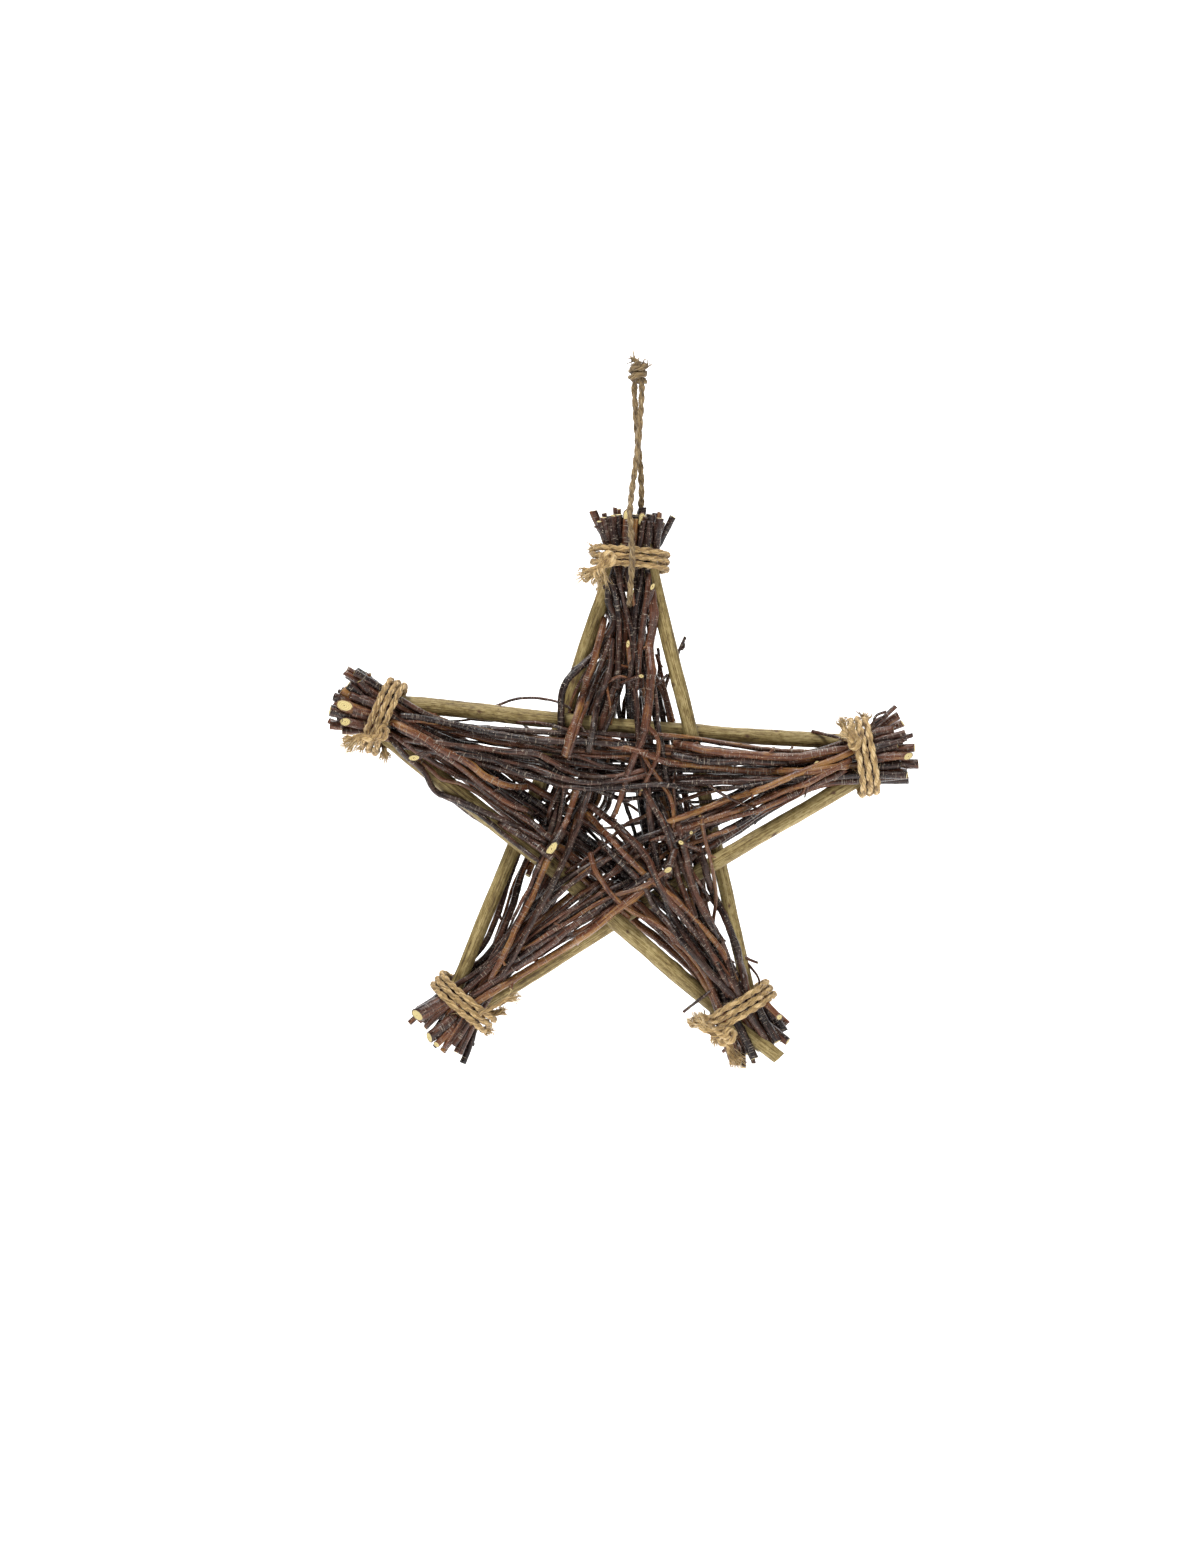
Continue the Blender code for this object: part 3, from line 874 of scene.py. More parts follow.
@dataclass(frozen=True)
class Growth:
    """How a bark-covered twig grew: its joints, kinks, buds and stubs."""

    joint_steps: Pair = (15 * MM, 31 * MM)
    kink: float = 0.34 * MM
    waver: float = 0.22 * MM
    swelling: float = 0.20
    bud_share: float = 0.42
    stub_share: float = 0.10
    sides: int = 10
    clear_end: float = 4 * MM
    joint_width: float = 1.5 * MM
    waver_wave: float = 38 * MM
    full_radius: float = 1.6 * MM
    waves: tuple[tuple[int, float, float], ...] = ((2, 0.030, 60 * MM), (3, 0.022, 24 * MM), (1, 0.03, 14 * MM))

    def dress(self, pot: Pot, stick: Stick, tone: float, dice: Dice, slope: float = 0.3,
              shown: float = 0.0) -> None:
        """Adds a twig with its joints, buds and stubs.

        Args:
            pot: Where its tubes go.
            stick: Its line and radii.
            tone: Its shade, from 0 to 1.
            dice: The source of its randomness.
            slope: How slanted its cut ends are at most.
            shown: How slanted its last end is where its cut faces the front, or 0.
        """
        line, radii = stick.line.copy(), stick.radii.copy()
        marks = arc_marks(line)
        tangents, across, upward = frames_along(line)
        joints = []
        place = dice.uniform(0.2, 1.0) * self.joint_steps[1]
        while place < marks[-1] - self.clear_end:
            joints.append(place)
            place += dice.uniform(*self.joint_steps)
        scale = min(1.0, radii.mean() / self.full_radius)
        for axis, size in ((across, 1.0), (upward, 0.55)):
            turns = [(-1) ** k * dice.uniform(0.3, 1.0) * self.kink * size for k in range(len(joints))]
            zigzag = np.interp(marks, [0.0, *joints, marks[-1]], [0.0, *turns, 0.0])
            line += axis * (scale * (zigzag + self.waver * size * ripple(marks, self.waver_wave, dice)))[:, None]
        turn = 2 * math.pi * np.arange(self.sides) / self.sides
        relief = np.ones((len(line), self.sides))
        for count, size, wave in self.waves:
            lean = 2.2 * ripple(marks, wave, dice)
            relief += size * np.cos(count * turn[None, :] + lean[:, None])
        relief += 0.028 * ripple(marks, 7 * MM, dice)[:, None]
        headings = []
        for k, joint in enumerate(joints):
            heading = dice.uniform(-0.6, 0.6) + math.pi * (k % 2)
            headings.append(heading)
            bump = falloff(marks - joint, self.joint_width)
            relief += self.swelling * bump[:, None] * (0.45 + 0.55 * np.cos(turn - heading))[None, :]
        slants = [(dice.uniform(0.15, 1.0) * slope, dice.uniform(0, 2 * math.pi)) for _ in range(2)]
        if shown:
            slants[1] = (shown, -math.pi / 2 + dice.uniform(-0.5, 0.5))
        pot.tube(Tube(line, radii, self.sides, tone, relief, (End.CUT, End.CUT), tuple(slants)))
        for joint, heading in zip(joints, headings):
            chance = dice.random()
            at = min(int(np.searchsorted(marks, joint)), len(line) - 1)
            outward = math.cos(heading) * across[at] + math.sin(heading) * upward[at]
            if chance < self.stub_share:
                self._stub(pot, line[at], tangents[at], outward, radii[at], tone, dice)
            elif chance < self.stub_share + self.bud_share:
                self._bud(pot, line[at], tangents[at], outward, radii[at], tone, dice)

    def _bud(self, pot: Pot, place: Array, along: Array, outward: Array, radius: float,
             tone: float, dice: Dice) -> None:
        """Adds a pointed bud that lies close to the twig, over a joint.

        Args:
            pot: Where its tubes go.
            place: Where on the twig's line.
            along: The twig's direction.
            outward: The side that it is on.
            radius: The twig's radius there.
            tone: The twig's shade.
            dice: The source of its randomness.
        """
        length = dice.uniform(1.5, 2.6) * MM
        width = min(0.42, 0.3 * dice.uniform(0.8, 1.3)) * radius + 0.12 * MM
        shares = np.linspace(0, 1, 6)
        start = place + outward * radius * 0.72
        line = start + shares[:, None] * length * along + (outward * radius * 0.62) * np.sin(shares * 1.7)[:, None]
        radii = width * np.array([0.85, 1.0, 0.98, 0.78, 0.46, 0.12])
        pot.tube(Tube(line, radii, 7, min(1.0, tone + 0.15)))

    def _stub(self, pot: Pot, place: Array, along: Array, outward: Array, radius: float,
              tone: float, dice: Dice) -> None:
        """Adds the short rest of a side shoot that was cut off.

        Args:
            pot: Where its tubes go.
            place: Where on the twig's line.
            along: The twig's direction.
            outward: The side that it is on.
            radius: The twig's radius there.
            tone: The twig's shade.
            dice: The source of its randomness.
        """
        length = dice.uniform(1.6, 3.4) * MM
        heading = unit(outward + along * dice.uniform(0.5, 1.1))
        line = place + heading * np.linspace(0.3 * radius, radius + length, 6)[:, None]
        radii = radius * np.array([0.72, 0.66, 0.56, 0.5, 0.48, 0.47])
        pot.tube(Tube(line, radii, 8, tone, None, (End.POINT, End.CUT), ((0, 0), (dice.uniform(0.1, 0.6), 0.0))))


@dataclass
class Finishes:
    """The star's materials, made once."""

    bark: bpy.types.Material
    wood: bpy.types.Material
    cut: bpy.types.Material
    jute: bpy.types.Material
    worn_jute: bpy.types.Material

    @staticmethod
    def make() -> "Finishes":
        """Builds each finish."""
        worn = Jute("worn_jute", gold=(0.29, 0.20, 0.093), tan=(0.155, 0.10, 0.044), dark=(0.045, 0.027, 0.013),
                    pale=(0.50, 0.37, 0.20))
        return Finishes(*(look.material() for look in (Bark(), PeeledWood(), CutWood(), Jute(), worn)))

    @property
    def twig(self) -> list[bpy.types.Material]:
        """Returns a twig's finishes: its bark, then its cut ends."""
        return [self.bark, self.cut]

    @property
    def pole(self) -> list[bpy.types.Material]:
        """Returns a pole's finishes: its peeled wood, then its cut ends."""
        return [self.wood, self.cut]


@dataclass
class Poles:
    """The five peeled poles, with the knots and long waves of real wood."""

    finishes: Finishes
    sides: int = 20
    step: float = 1.3 * MM
    waver: float = 0.22 * MM
    knot_steps: Pair = (34 * MM, 62 * MM)
    swelling: float = 0.13
    waves: tuple[tuple[int, float, float], ...] = (
        (2, 0.026, 90 * MM), (3, 0.016, 50 * MM), (5, 0.010, 40 * MM), (7, 0.007, 60 * MM))
    scars: dict[str, tuple[Pair, ...]] = field(default_factory=lambda: {
        "left_right": ((481, 713), (748, 737)), "left_lower_right": ((728, 1012), (629, 930)),
        "top_lower_right": ((733, 905),), "right_lower_left": ((830, 790),)})

    def build(self, piles: dict[str, Pile]) -> None:
        """Builds every pole and puts it on its side's pile.

        Args:
            piles: The sticks in place, by side.
        """
        for number, (side, (first, _)) in enumerate(SIDES.items()):
            dice = Dice(SEEDS["poles"] + number)
            route, radii = facing(*route_of(f"pole_{side}", POLE_CORNERS), tip_place(first))
            stick = Stick.along(route, radii, self.step)
            piles[side].add(stick)
            pot = Pot()
            self.dress(pot, stick, dice, in_photo(*self.scars.get(side, ())))
            piece = pot.cook(f"pole_wood_{side}", self.finishes.pole, Slot.POLE)
            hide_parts(f"pole_{side}")
            LOG.info("%s: %.0f mm", piece.name, arc_marks(stick.line)[-1] / MM)

    def dress(self, pot: Pot, stick: Stick, dice: Dice, scars: Array) -> None:
        """Adds one pole's tube.

        Args:
            pot: Where it goes.
            stick: Its line and radii.
            dice: The source of its randomness.
            scars: Where its front has a branch scar, in x and z.
        """
        line, radii = stick.line.copy(), stick.radii * 1.01
        marks = arc_marks(line)
        _, across, upward = frames_along(line)
        ease = np.clip(np.minimum(marks, marks[-1] - marks) / (12 * MM), 0, 1)
        for axis in (across, upward):
            line += axis * (self.waver * ease * ripple(marks, 120 * MM, dice))[:, None]
        turn = 2 * math.pi * np.arange(self.sides) / self.sides
        relief = np.ones((len(line), self.sides)) + 0.016 * ripple(marks, 26 * MM, dice)[:, None]
        for count, size, wave in self.waves:
            relief += size * np.cos(count * turn[None, :] + (1.6 * ripple(marks, wave, dice))[:, None])
        knots = np.zeros_like(relief)
        place = dice.uniform(0.3, 0.9) * self.knot_steps[0]
        found = []
        while place < marks[-1] - 8 * MM:
            found.append((place, dice.uniform(0, 2 * math.pi)))
            place += dice.uniform(*self.knot_steps)
        for scar in scars:
            at = np.linalg.norm(line[:, [0, 2]] - scar, axis=1).argmin()
            found.append((marks[at], math.atan2(-upward[at, 1], -across[at, 1])))
        for place, heading in found:
            off = np.angle(np.exp(1j * (turn - heading)))[None, :] * radii.mean()
            away = np.hypot((marks[:, None] - place) / 1.5, off)
            relief += self.swelling * falloff(away, 2.1 * MM)
            relief -= 0.06 * falloff(away, 0.8 * MM)
            knots = np.maximum(knots, falloff(away, 1.15 * MM))
        slants = tuple((dice.uniform(0.05, 0.35), dice.uniform(0, 6.28)) for _ in range(2))
        pot.tube(Tube(line, radii, self.sides, dice.random(), relief, (End.CUT, End.CUT), slants, knots))


def side_plan(side: str) -> tuple[Array, Array, Array, float]:
    """Returns where a side starts, its direction, the direction to the star's middle, and its length."""
    first, second = (np.array(TIPS[tip]) for tip in SIDES[side])
    along = unit(second - first)
    inward = np.array([-along[1], along[0]])
    if inward @ (STAR_MIDDLE - first) < 0:
        inward = -inward
    return first, along, inward, float(np.linalg.norm(second - first))


@dataclass
class Twigs:
    """The bundled twigs of every side, and the thin shoots laid among them."""

    finishes: Finishes
    growth: Growth = field(default_factory=Growth)
    thin: Growth = field(default_factory=lambda: Growth(
        joint_steps=(10 * MM, 22 * MM), kink=0.4 * MM, waver=0.35 * MM, bud_share=0.3, stub_share=0.06, sides=7))
    count: int = 9
    shoots: tuple[tuple[int, int], ...] = ((FRONT, 4), (BEHIND, 7))
    shoot_radii: Pair = (0.8 * MM, 1.6 * MM)
    band_shares: tuple[float, ...] = (0.0, 0.13, 0.30, 0.50, 0.70, 0.87, 1.0)
    band: tuple[float, ...] = (5 * MM, 12 * MM, 21 * MM, 29 * MM, 24 * MM, 14 * MM, 5 * MM)

    def build(self, piles: dict[str, Pile]) -> None:
        """Builds every side's twigs and shoots.

        Args:
            piles: The sticks in place, by side.
        """
        for number, (side, (first, _)) in enumerate(SIDES.items()):
            for k in range(1, self.count + 1):
                dice = Dice(SEEDS["twigs"] + 50 * number + k)
                route, radii = facing(*route_of(f"twig_{side}_{k}", ROUND_CORNERS), tip_place(first))
                stick = Stick.along(route, radii * 1.03)
                piles[side].add(stick)
                pot = Pot()
                self.growth.dress(pot, stick, dice.random(), dice)
                piece = pot.cook(f"bark_twig_{side}_{k}", self.finishes.twig, Slot.TWIG)
                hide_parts(f"twig_{side}_{k}")
            self._shoots(side, piles[side], Dice(SEEDS["shoots"] + number))
            LOG.info("%s: %d twigs", side, self.count)

    def _shoots(self, side: str, pile: Pile, dice: Dice) -> None:
        """Lays thin shoots on one side's twigs, in front and behind.

        Args:
            side: The side.
            pile: Its sticks in place, to which the shoots are added.
            dice: The source of its randomness.
        """
        start, along, inward, length = side_plan(side)
        pot = Pot()
        for way, count in self.shoots:
            for k in range(count):
                top = dice.uniform(*self.shoot_radii)
                begin = dice.uniform(0.06, 0.40)
                finish = min(0.94, begin + dice.uniform(0.30, 0.80))
                shares = np.linspace(begin, finish, 130)
                base = (k + 0.5) / count
                knots = [base + dice.uniform(-0.38, 0.38) for _ in range(4)]
                weight = smooth_curve(np.column_stack([np.arange(4) / 3, knots]), np.linspace(0, 1.0, 60))
                spread = np.interp(np.linspace(0, 1, len(shares)), weight[:, 0], weight[:, 1])
                inside = np.interp(shares, self.band_shares, self.band) * np.clip(spread, -0.15, 1.2)
                inside += 0.3 * MM * ripple(shares * length, 50 * MM, dice)
                plan = start + along * (shares * length)[:, None] + inward * inside[:, None]
                stick = tucked(plan, top, way, pile)
                if dice.random() < 0.5:
                    stick = Stick(stick.line, stick.radii[::-1])
                pile.add(stick)
                self.thin.dress(pot, stick, dice.random(), dice)
        pot.cook(f"thin_shoots_{side}", self.finishes.twig, Slot.TWIG)


def tucked(plan: Array, radius: float, way: int, pile: Pile, sink: float = 2.4 * MM,
           ends: Pair = (1.0, 0.55), tuck: tuple[bool, bool] = (True, True)) -> Stick:
    """Lays a stick on a pile with its ends slipped in among the others.

    Args:
        plan: Its line in x and z.
        radius: Its radius where it is thickest.
        way: FRONT or BEHIND.
        pile: What it rests on.
        sink: How far its ends go in.
        ends: Its radius at each end, as a share.
        tuck: Which of its ends go in.

    Returns:
        The stick.
    """
    limit = (CAD_BOX[1][1] if way == BEHIND else -CAD_BOX[0][1]) - radius - BOX_CLEAR
    depth = way * np.minimum(way * pile.rest(plan, radius, way, TUCK_WINDOW), limit)
    marks = arc_marks(plan)
    for away, on in ((marks, tuck[0]), (marks[-1] - marks, tuck[1])):
        if on:
            depth -= way * sink * np.clip(1 - away / TUCK_LENGTH, 0, 1) ** 1.5
    return Stick.along(at_depth(plan, depth), radius * np.linspace(*ends, len(plan)))


@dataclass(frozen=True)
class Sprig:
    """One loose twig that the picture shows.

    Attributes:
        spots: Where it runs, in the picture's pixels.
        thick: Its radius at its start, in mm.
        thin: Its radius at its end, in mm.
        tone: Its shade, from 0 to 1.
        way: FRONT or BEHIND.
        tuck: Which of its ends go in among the others.
        joins: The number of the twig that it grows from.
        only: The sides that it rests on, where it doesn't rest on all.
        level: Its depth in mm, where it rests on nothing.
    """

    spots: tuple[Pair, ...]
    thick: float
    thin: float
    tone: float = 0.5
    way: int = FRONT
    tuck: tuple[bool, bool] = (True, True)
    joins: int | None = None
    only: tuple[str, ...] = ()
    level: float | None = None


@dataclass
class LooseTwigs:
    """Twigs that cross from bundle to bundle over the whole star."""

    finishes: Finishes
    sink: float = 3 * MM
    join_reach: float = 9 * MM
    peg_length: float = 11 * MM
    peg_sink: float = 4 * MM
    growth: Growth = field(default_factory=lambda: Growth(
        joint_steps=(12 * MM, 26 * MM), kink=0.28 * MM, waver=0.2 * MM, bud_share=0.35, stub_share=0.08, sides=9))
    wanderers: int = 12
    sprigs: tuple[Sprig, ...] = (
        Sprig(((651, 592), (653, 620), (650, 644), (650, 676), (648, 708), (644, 731)), 2.3, 2.4, 0.62, tuck=START_IN),
        Sprig(((645, 729), (636, 752), (629, 771), (621, 795), (612, 818)), 2.1, 1.3, 0.6, tuck=END_IN, joins=0),
        Sprig(((647, 727), (655, 735), (658, 744), (655, 760), (650, 771), (639, 795)), 1.25, 0.8, 0.85,
              tuck=END_IN, joins=0),
        Sprig(((484, 711), (497, 706), (513, 700), (529, 698), (545, 699), (560, 703), (572, 710)), 0.8, 0.65, 0.5,
              BEHIND, only=("left_right",)),
        Sprig(((664, 692), (676, 658), (681, 646), (685, 637)), 0.9, 0.8, 0.4, BEHIND, tuck=START_IN,
              only=("top_lower_right",)),
        Sprig(((681, 650), (684, 647), (684, 643)), 0.9, 0.5, 0.4, BEHIND, tuck=(False, False), joins=4),
        Sprig(((605, 657), (614, 662), (623, 667), (630, 668)), 0.9, 0.8, 0.95),
        Sprig(((604, 684), (612, 680), (620, 677), (628, 679), (636, 681)), 0.9, 0.7, 0.95),
        Sprig(((654, 687), (661, 681), (667, 675)), 0.9, 0.7, 0.3),
        Sprig(((604, 618), (596, 652), (586, 684), (575, 723), (565, 756)), 1.7, 2.0, 0.86),
        Sprig(((610, 640), (604, 657), (589, 700), (577, 731), (568, 760)), 1.2, 1.2, 0.6),
        Sprig(((612, 640), (609, 669), (599, 700), (594, 723), (588, 752)), 1.6, 1.8, 0.3),
        Sprig(((627, 546), (626, 570), (626, 592)), 1.7, 1.6, 0.3, level=-4.0),
        Sprig(((635, 546), (636, 570), (637, 600)), 1.7, 1.6, 0.4, level=-4.0),
        Sprig(((631, 606), (632, 625), (634, 650)), 1.6, 1.5, 0.3, level=-2.0),
        Sprig(((616, 566), (621, 590), (628, 620), (634, 650), (641, 688)), 1.7, 1.5, 0.35),
        Sprig(((641, 568), (637, 600), (633, 640), (629, 688)), 1.6, 1.4, 0.2),
        Sprig(((612, 575), (617, 610), (619, 650), (617, 690)), 1.5, 1.4, 0.25),
        Sprig(((648, 575), (645, 610), (640, 650), (636, 690)), 1.5, 1.3, 0.5),
        Sprig(((403, 740), (440, 744), (475, 748), (510, 752), (540, 755), (562, 768), (588, 777), (612, 777),
               (644, 770)), 1.6, 1.4, 0.45),
        Sprig(((400, 746), (440, 752), (480, 758), (521, 765), (545, 772), (569, 780), (590, 783), (619, 781),
               (648, 774)), 1.6, 1.4, 0.35),
        Sprig(((430, 742), (453, 746), (472, 753), (498, 761), (521, 773), (545, 780), (569, 786), (590, 789),
               (619, 787), (650, 785), (700, 790)), 1.6, 1.3, 0.15),
        Sprig(((593, 741), (636, 752), (668, 762), (691, 765), (740, 770), (790, 772), (845, 766)), 1.5, 2.0, 0.9),
        Sprig(((674, 744), (699, 749), (740, 755), (790, 757), (852, 748)), 2.1, 1.9, 0.7),
        Sprig(((672, 756), (707, 762), (740, 761), (786, 763)), 2.1, 1.8, 0.25),
        Sprig(((650, 734), (699, 739), (740, 746), (790, 751), (846, 752)), 0.9, 0.9, 0.8),
        Sprig(((402, 716), (445, 723), (490, 733), (540, 741), (590, 743), (640, 746)), 1.7, 1.5, 0.1),
        Sprig(((403, 721), (440, 724), (470, 727), (497, 733), (524, 741)), 0.8, 0.7, 0.8),
        Sprig(((392, 738), (402, 751), (423, 771), (437, 792), (459, 800), (482, 811), (513, 824), (548, 843)),
              1.5, 1.5, 0.3),
        Sprig(((440, 795), (472, 809), (491, 823), (509, 838), (523, 849), (540, 861)), 1.3, 1.2, 0.2),
        Sprig(((500, 823), (523, 836), (539, 846), (553, 858)), 1.9, 1.8, 0.55, tuck=START_IN),
        Sprig(((416, 757), (431, 770), (442, 779), (459, 783), (485, 798), (512, 812)), 1.1, 1.0, 0.75),
        Sprig(((391, 733), (415, 749), (434, 762), (453, 773), (472, 782), (491, 796), (529, 821), (556, 843)),
              1.6, 1.6, 0.5),
        Sprig(((394, 722), (418, 735), (437, 746), (453, 754), (469, 763), (485, 776), (504, 785), (527, 787)),
              2.1, 1.7, 0.92),
        Sprig(((400, 728), (423, 741), (442, 754), (466, 770), (482, 785), (505, 801), (528, 811)), 1.6, 1.3, 0.6),
        Sprig(((853, 750), (800, 772), (760, 788), (715, 804), (666, 822)), 1.7, 1.5, 1.0),
        Sprig(((848, 760), (800, 784), (760, 801), (715, 817), (668, 833)), 1.6, 1.4, 0.85),
        Sprig(((843, 770), (800, 791), (760, 808), (700, 826), (649, 841)), 1.5, 1.3, 0.6),
        Sprig(((648, 884), (620, 906), (580, 937), (540, 963), (500, 986), (470, 1006)), 2.0, 1.9, 0.97),
        Sprig(((612, 898), (575, 924), (540, 950), (500, 976), (462, 1002)), 1.8, 1.7, 0.45),
        Sprig(((655, 868), (625, 890), (590, 914), (548, 938), (500, 968)), 1.6, 1.5, 0.2),
        Sprig(((676, 862), (640, 886), (602, 900), (560, 926), (520, 950)), 1.3, 1.1, 0.75),
        Sprig(((640, 784), (652, 805), (666, 832), (678, 877), (700, 930), (728, 985)), 1.7, 1.5, 0.4),
        Sprig(((655, 796), (670, 832), (684, 872), (708, 922), (738, 978)), 1.5, 1.3, 0.2),
        Sprig(((700, 815), (704, 838), (711, 867), (716, 898), (713, 924)), 1.1, 0.9, 0.75),
        Sprig(((676, 820), (684, 850), (690, 877), (698, 901), (711, 923), (723, 947), (731, 975), (740, 1000)),
              1.7, 1.6, 0.45),
        Sprig(((698, 846), (708, 880), (720, 908), (729, 928), (737, 947), (742, 975), (748, 1000)), 1.9, 1.8, 0.3),
        Sprig(((688, 866), (697, 881), (706, 893), (718, 910)), 1.0, 0.8, 0.5),
        Sprig(((588, 804), (619, 828), (644, 854), (662, 890), (687, 922), (714, 958), (738, 992)), 1.9, 1.7, 0.5),
        Sprig(((586, 812), (613, 842), (644, 873), (682, 906), (716, 944), (736, 980)), 1.6, 1.4, 0.95),
        Sprig(((600, 842), (622, 864), (641, 882), (656, 908), (682, 940), (706, 968)), 1.6, 1.4, 0.25),
        Sprig(((590, 852), (595, 870), (606, 887), (619, 901), (641, 915), (672, 934), (692, 950)), 1.4, 1.2, 0.85),
        Sprig(((580, 782), (565, 822), (550, 856), (532, 896), (512, 938), (490, 980)), 1.6, 1.5, 0.95),
        Sprig(((592, 780), (574, 836), (556, 878), (536, 916), (514, 955), (492, 990)), 1.5, 1.4, 0.3),
        Sprig(((884, 712), (874, 716), (870, 728), (862, 742)), 0.8, 0.6, 0.6, tuck=END_IN),
        Sprig(((812, 731), (826, 735), (842, 741), (852, 748)), 0.9, 0.7, 0.5),
        Sprig(((704, 783), (730, 799), (758, 809)), 0.9, 0.6, 0.6, tuck=START_IN),
        Sprig(((810, 768), (806, 785), (803, 797)), 0.6, 0.45, 0.4, tuck=START_IN),
        Sprig(((760, 813), (772, 809), (785, 803), (801, 792), (805, 780), (808, 770)), 0.5, 0.45, 0.9),
        Sprig(((712, 988), (700, 997), (694, 1002), (683, 1011)), 0.9, 0.8, 0.3, tuck=START_IN),
        Sprig(((742, 955), (750, 960), (758, 963)), 0.8, 0.7, 0.5, tuck=START_IN),
        Sprig(((746, 962), (752, 969), (759, 981), (758, 990)), 0.75, 0.5, 0.4, tuck=START_IN),
        Sprig(((862, 737), (866, 731), (872, 722), (880, 717)), 0.75, 0.5, 0.4, tuck=START_IN),
    )
    # Each peg's pixel, its radius in mm, the way it points in degrees, and how slanted its cut is
    pegs: tuple[tuple[float, float, float, float, float], ...] = (
        (416, 758, 1.7, 200, 1.7), (814, 764, 1.4, 60, 1.2), (552, 848, 2.2, 240, 2.0), (667, 869, 2.0, 250, 0.9),
        (632, 592, 1.0, 100, 1.2), (652, 588, 1.2, 80, 1.6), (628, 645, 1.1, 95, 2.0), (641, 677, 1.1, 20, 1.2),
        (680, 842, 1.2, 160, 1.2), (690, 832, 0.9, 30, 1.0),
    )

    def build(self, piles: dict[str, Pile]) -> None:
        """Lays the loose twigs and sets the pegs.

        Args:
            piles: The sticks in place, by side.
        """
        whole = Pile()
        for pile in piles.values():
            whole.sticks.extend(pile.sticks)
        self._sprigs(whole, piles)
        self._wanderers(whole)
        self._pegs(whole)

    def _sprigs(self, whole: Pile, piles: dict[str, Pile]) -> None:
        """Lays the twigs that the picture shows one by one.

        Args:
            whole: Every stick in place, to which these are added.
            piles: The same sticks, by side.
        """
        pot, laid = Pot(), []
        for number, sprig in enumerate(self.sprigs):
            dice = Dice(SEEDS["sprigs"] + number)
            plan = even_curve(in_photo(*sprig.spots), 1.5 * MM)
            pile = whole if not sprig.only else Pile()
            for side in sprig.only:
                pile.sticks.extend(piles[side].sticks[:MAIN_STICKS])
            ends = (1.0, sprig.thin / sprig.thick)
            stick = tucked(plan, sprig.thick * MM, sprig.way, pile, self.sink, ends, sprig.tuck)
            if sprig.level is not None:
                stick.line[:, 1] = sprig.level * MM
            if sprig.joins is not None:
                trunk = laid[sprig.joins].line
                gap = trunk[np.linalg.norm(trunk[:, [0, 2]] - plan[0], axis=1).argmin(), 1] - stick.line[0, 1]
                stick.line[:, 1] += gap * np.exp(-arc_marks(stick.line) / self.join_reach)
            laid.append(stick)
            self.growth.dress(pot, stick, sprig.tone, dice)
        for stick in laid:
            whole.add(stick)
        pot.cook("loose_twigs", self.finishes.twig, Slot.TWIG)
        LOG.info("loose_twigs: %d", len(laid))

    def _wanderers(self, whole: Pile) -> None:
        """Lays thin twigs that fan from the tips over the star's back.

        Args:
            whole: Every stick in place, to which these are added.
        """
        pot = Pot()
        for k in range(self.wanderers):
            dice = Dice(SEEDS["wanderers"] + k)
            place, out, aside = tip_frame(list(TIPS)[k % len(TIPS)])
            begin = dice.uniform(26, 70) * MM
            length = min(dice.uniform(60, 140) * MM, 170 * MM - begin)
            lean = dice.uniform(-0.30, 0.30)
            bow = dice.uniform(-7, 7) * MM
            shares = np.linspace(0, 1, max(20, int(length / (1.5 * MM))))
            ahead = begin + length * shares
            off = ahead * math.tan(lean) * 0.75 + bow * np.sin(math.pi * shares)
            off += 0.6 * MM * ripple(ahead, 60 * MM, dice)
            limit = 0.30 * ahead
            off = np.clip(off, -limit - 4 * MM, limit + 4 * MM)
            plan = place - out * ahead[:, None] - aside * off[:, None]
            stick = tucked(plan, dice.uniform(0.7, 1.5) * MM, BEHIND, whole)
            whole.add(stick)
            self.growth.dress(pot, stick, dice.random(), dice)
        pot.cook("wandering_twigs_back", self.finishes.twig, Slot.TWIG)
        LOG.info("wandering_twigs_back: %d", self.wanderers)

    def _pegs(self, whole: Pile) -> None:
        """Lays short cut twigs whose pale slanted ends face the front.

        Args:
            whole: Every stick in place.
        """
        pot = Pot()
        for number, (px, py, radius, heading, slope) in enumerate(self.pegs):
            dice = Dice(SEEDS["pegs"] + number)
            turn = math.radians(heading)
            end = in_photo((px, py))[0]
            back = end - self.peg_length * np.array([math.cos(turn), math.sin(turn)])
            stick = tucked(straight(back, end, 10), radius * MM, FRONT, whole, self.peg_sink, (1.0, 1.0), START_IN)
            self.growth.dress(pot, stick, dice.random(), dice, shown=slope)
        pot.cook("cut_pegs", self.finishes.twig, Slot.TWIG)


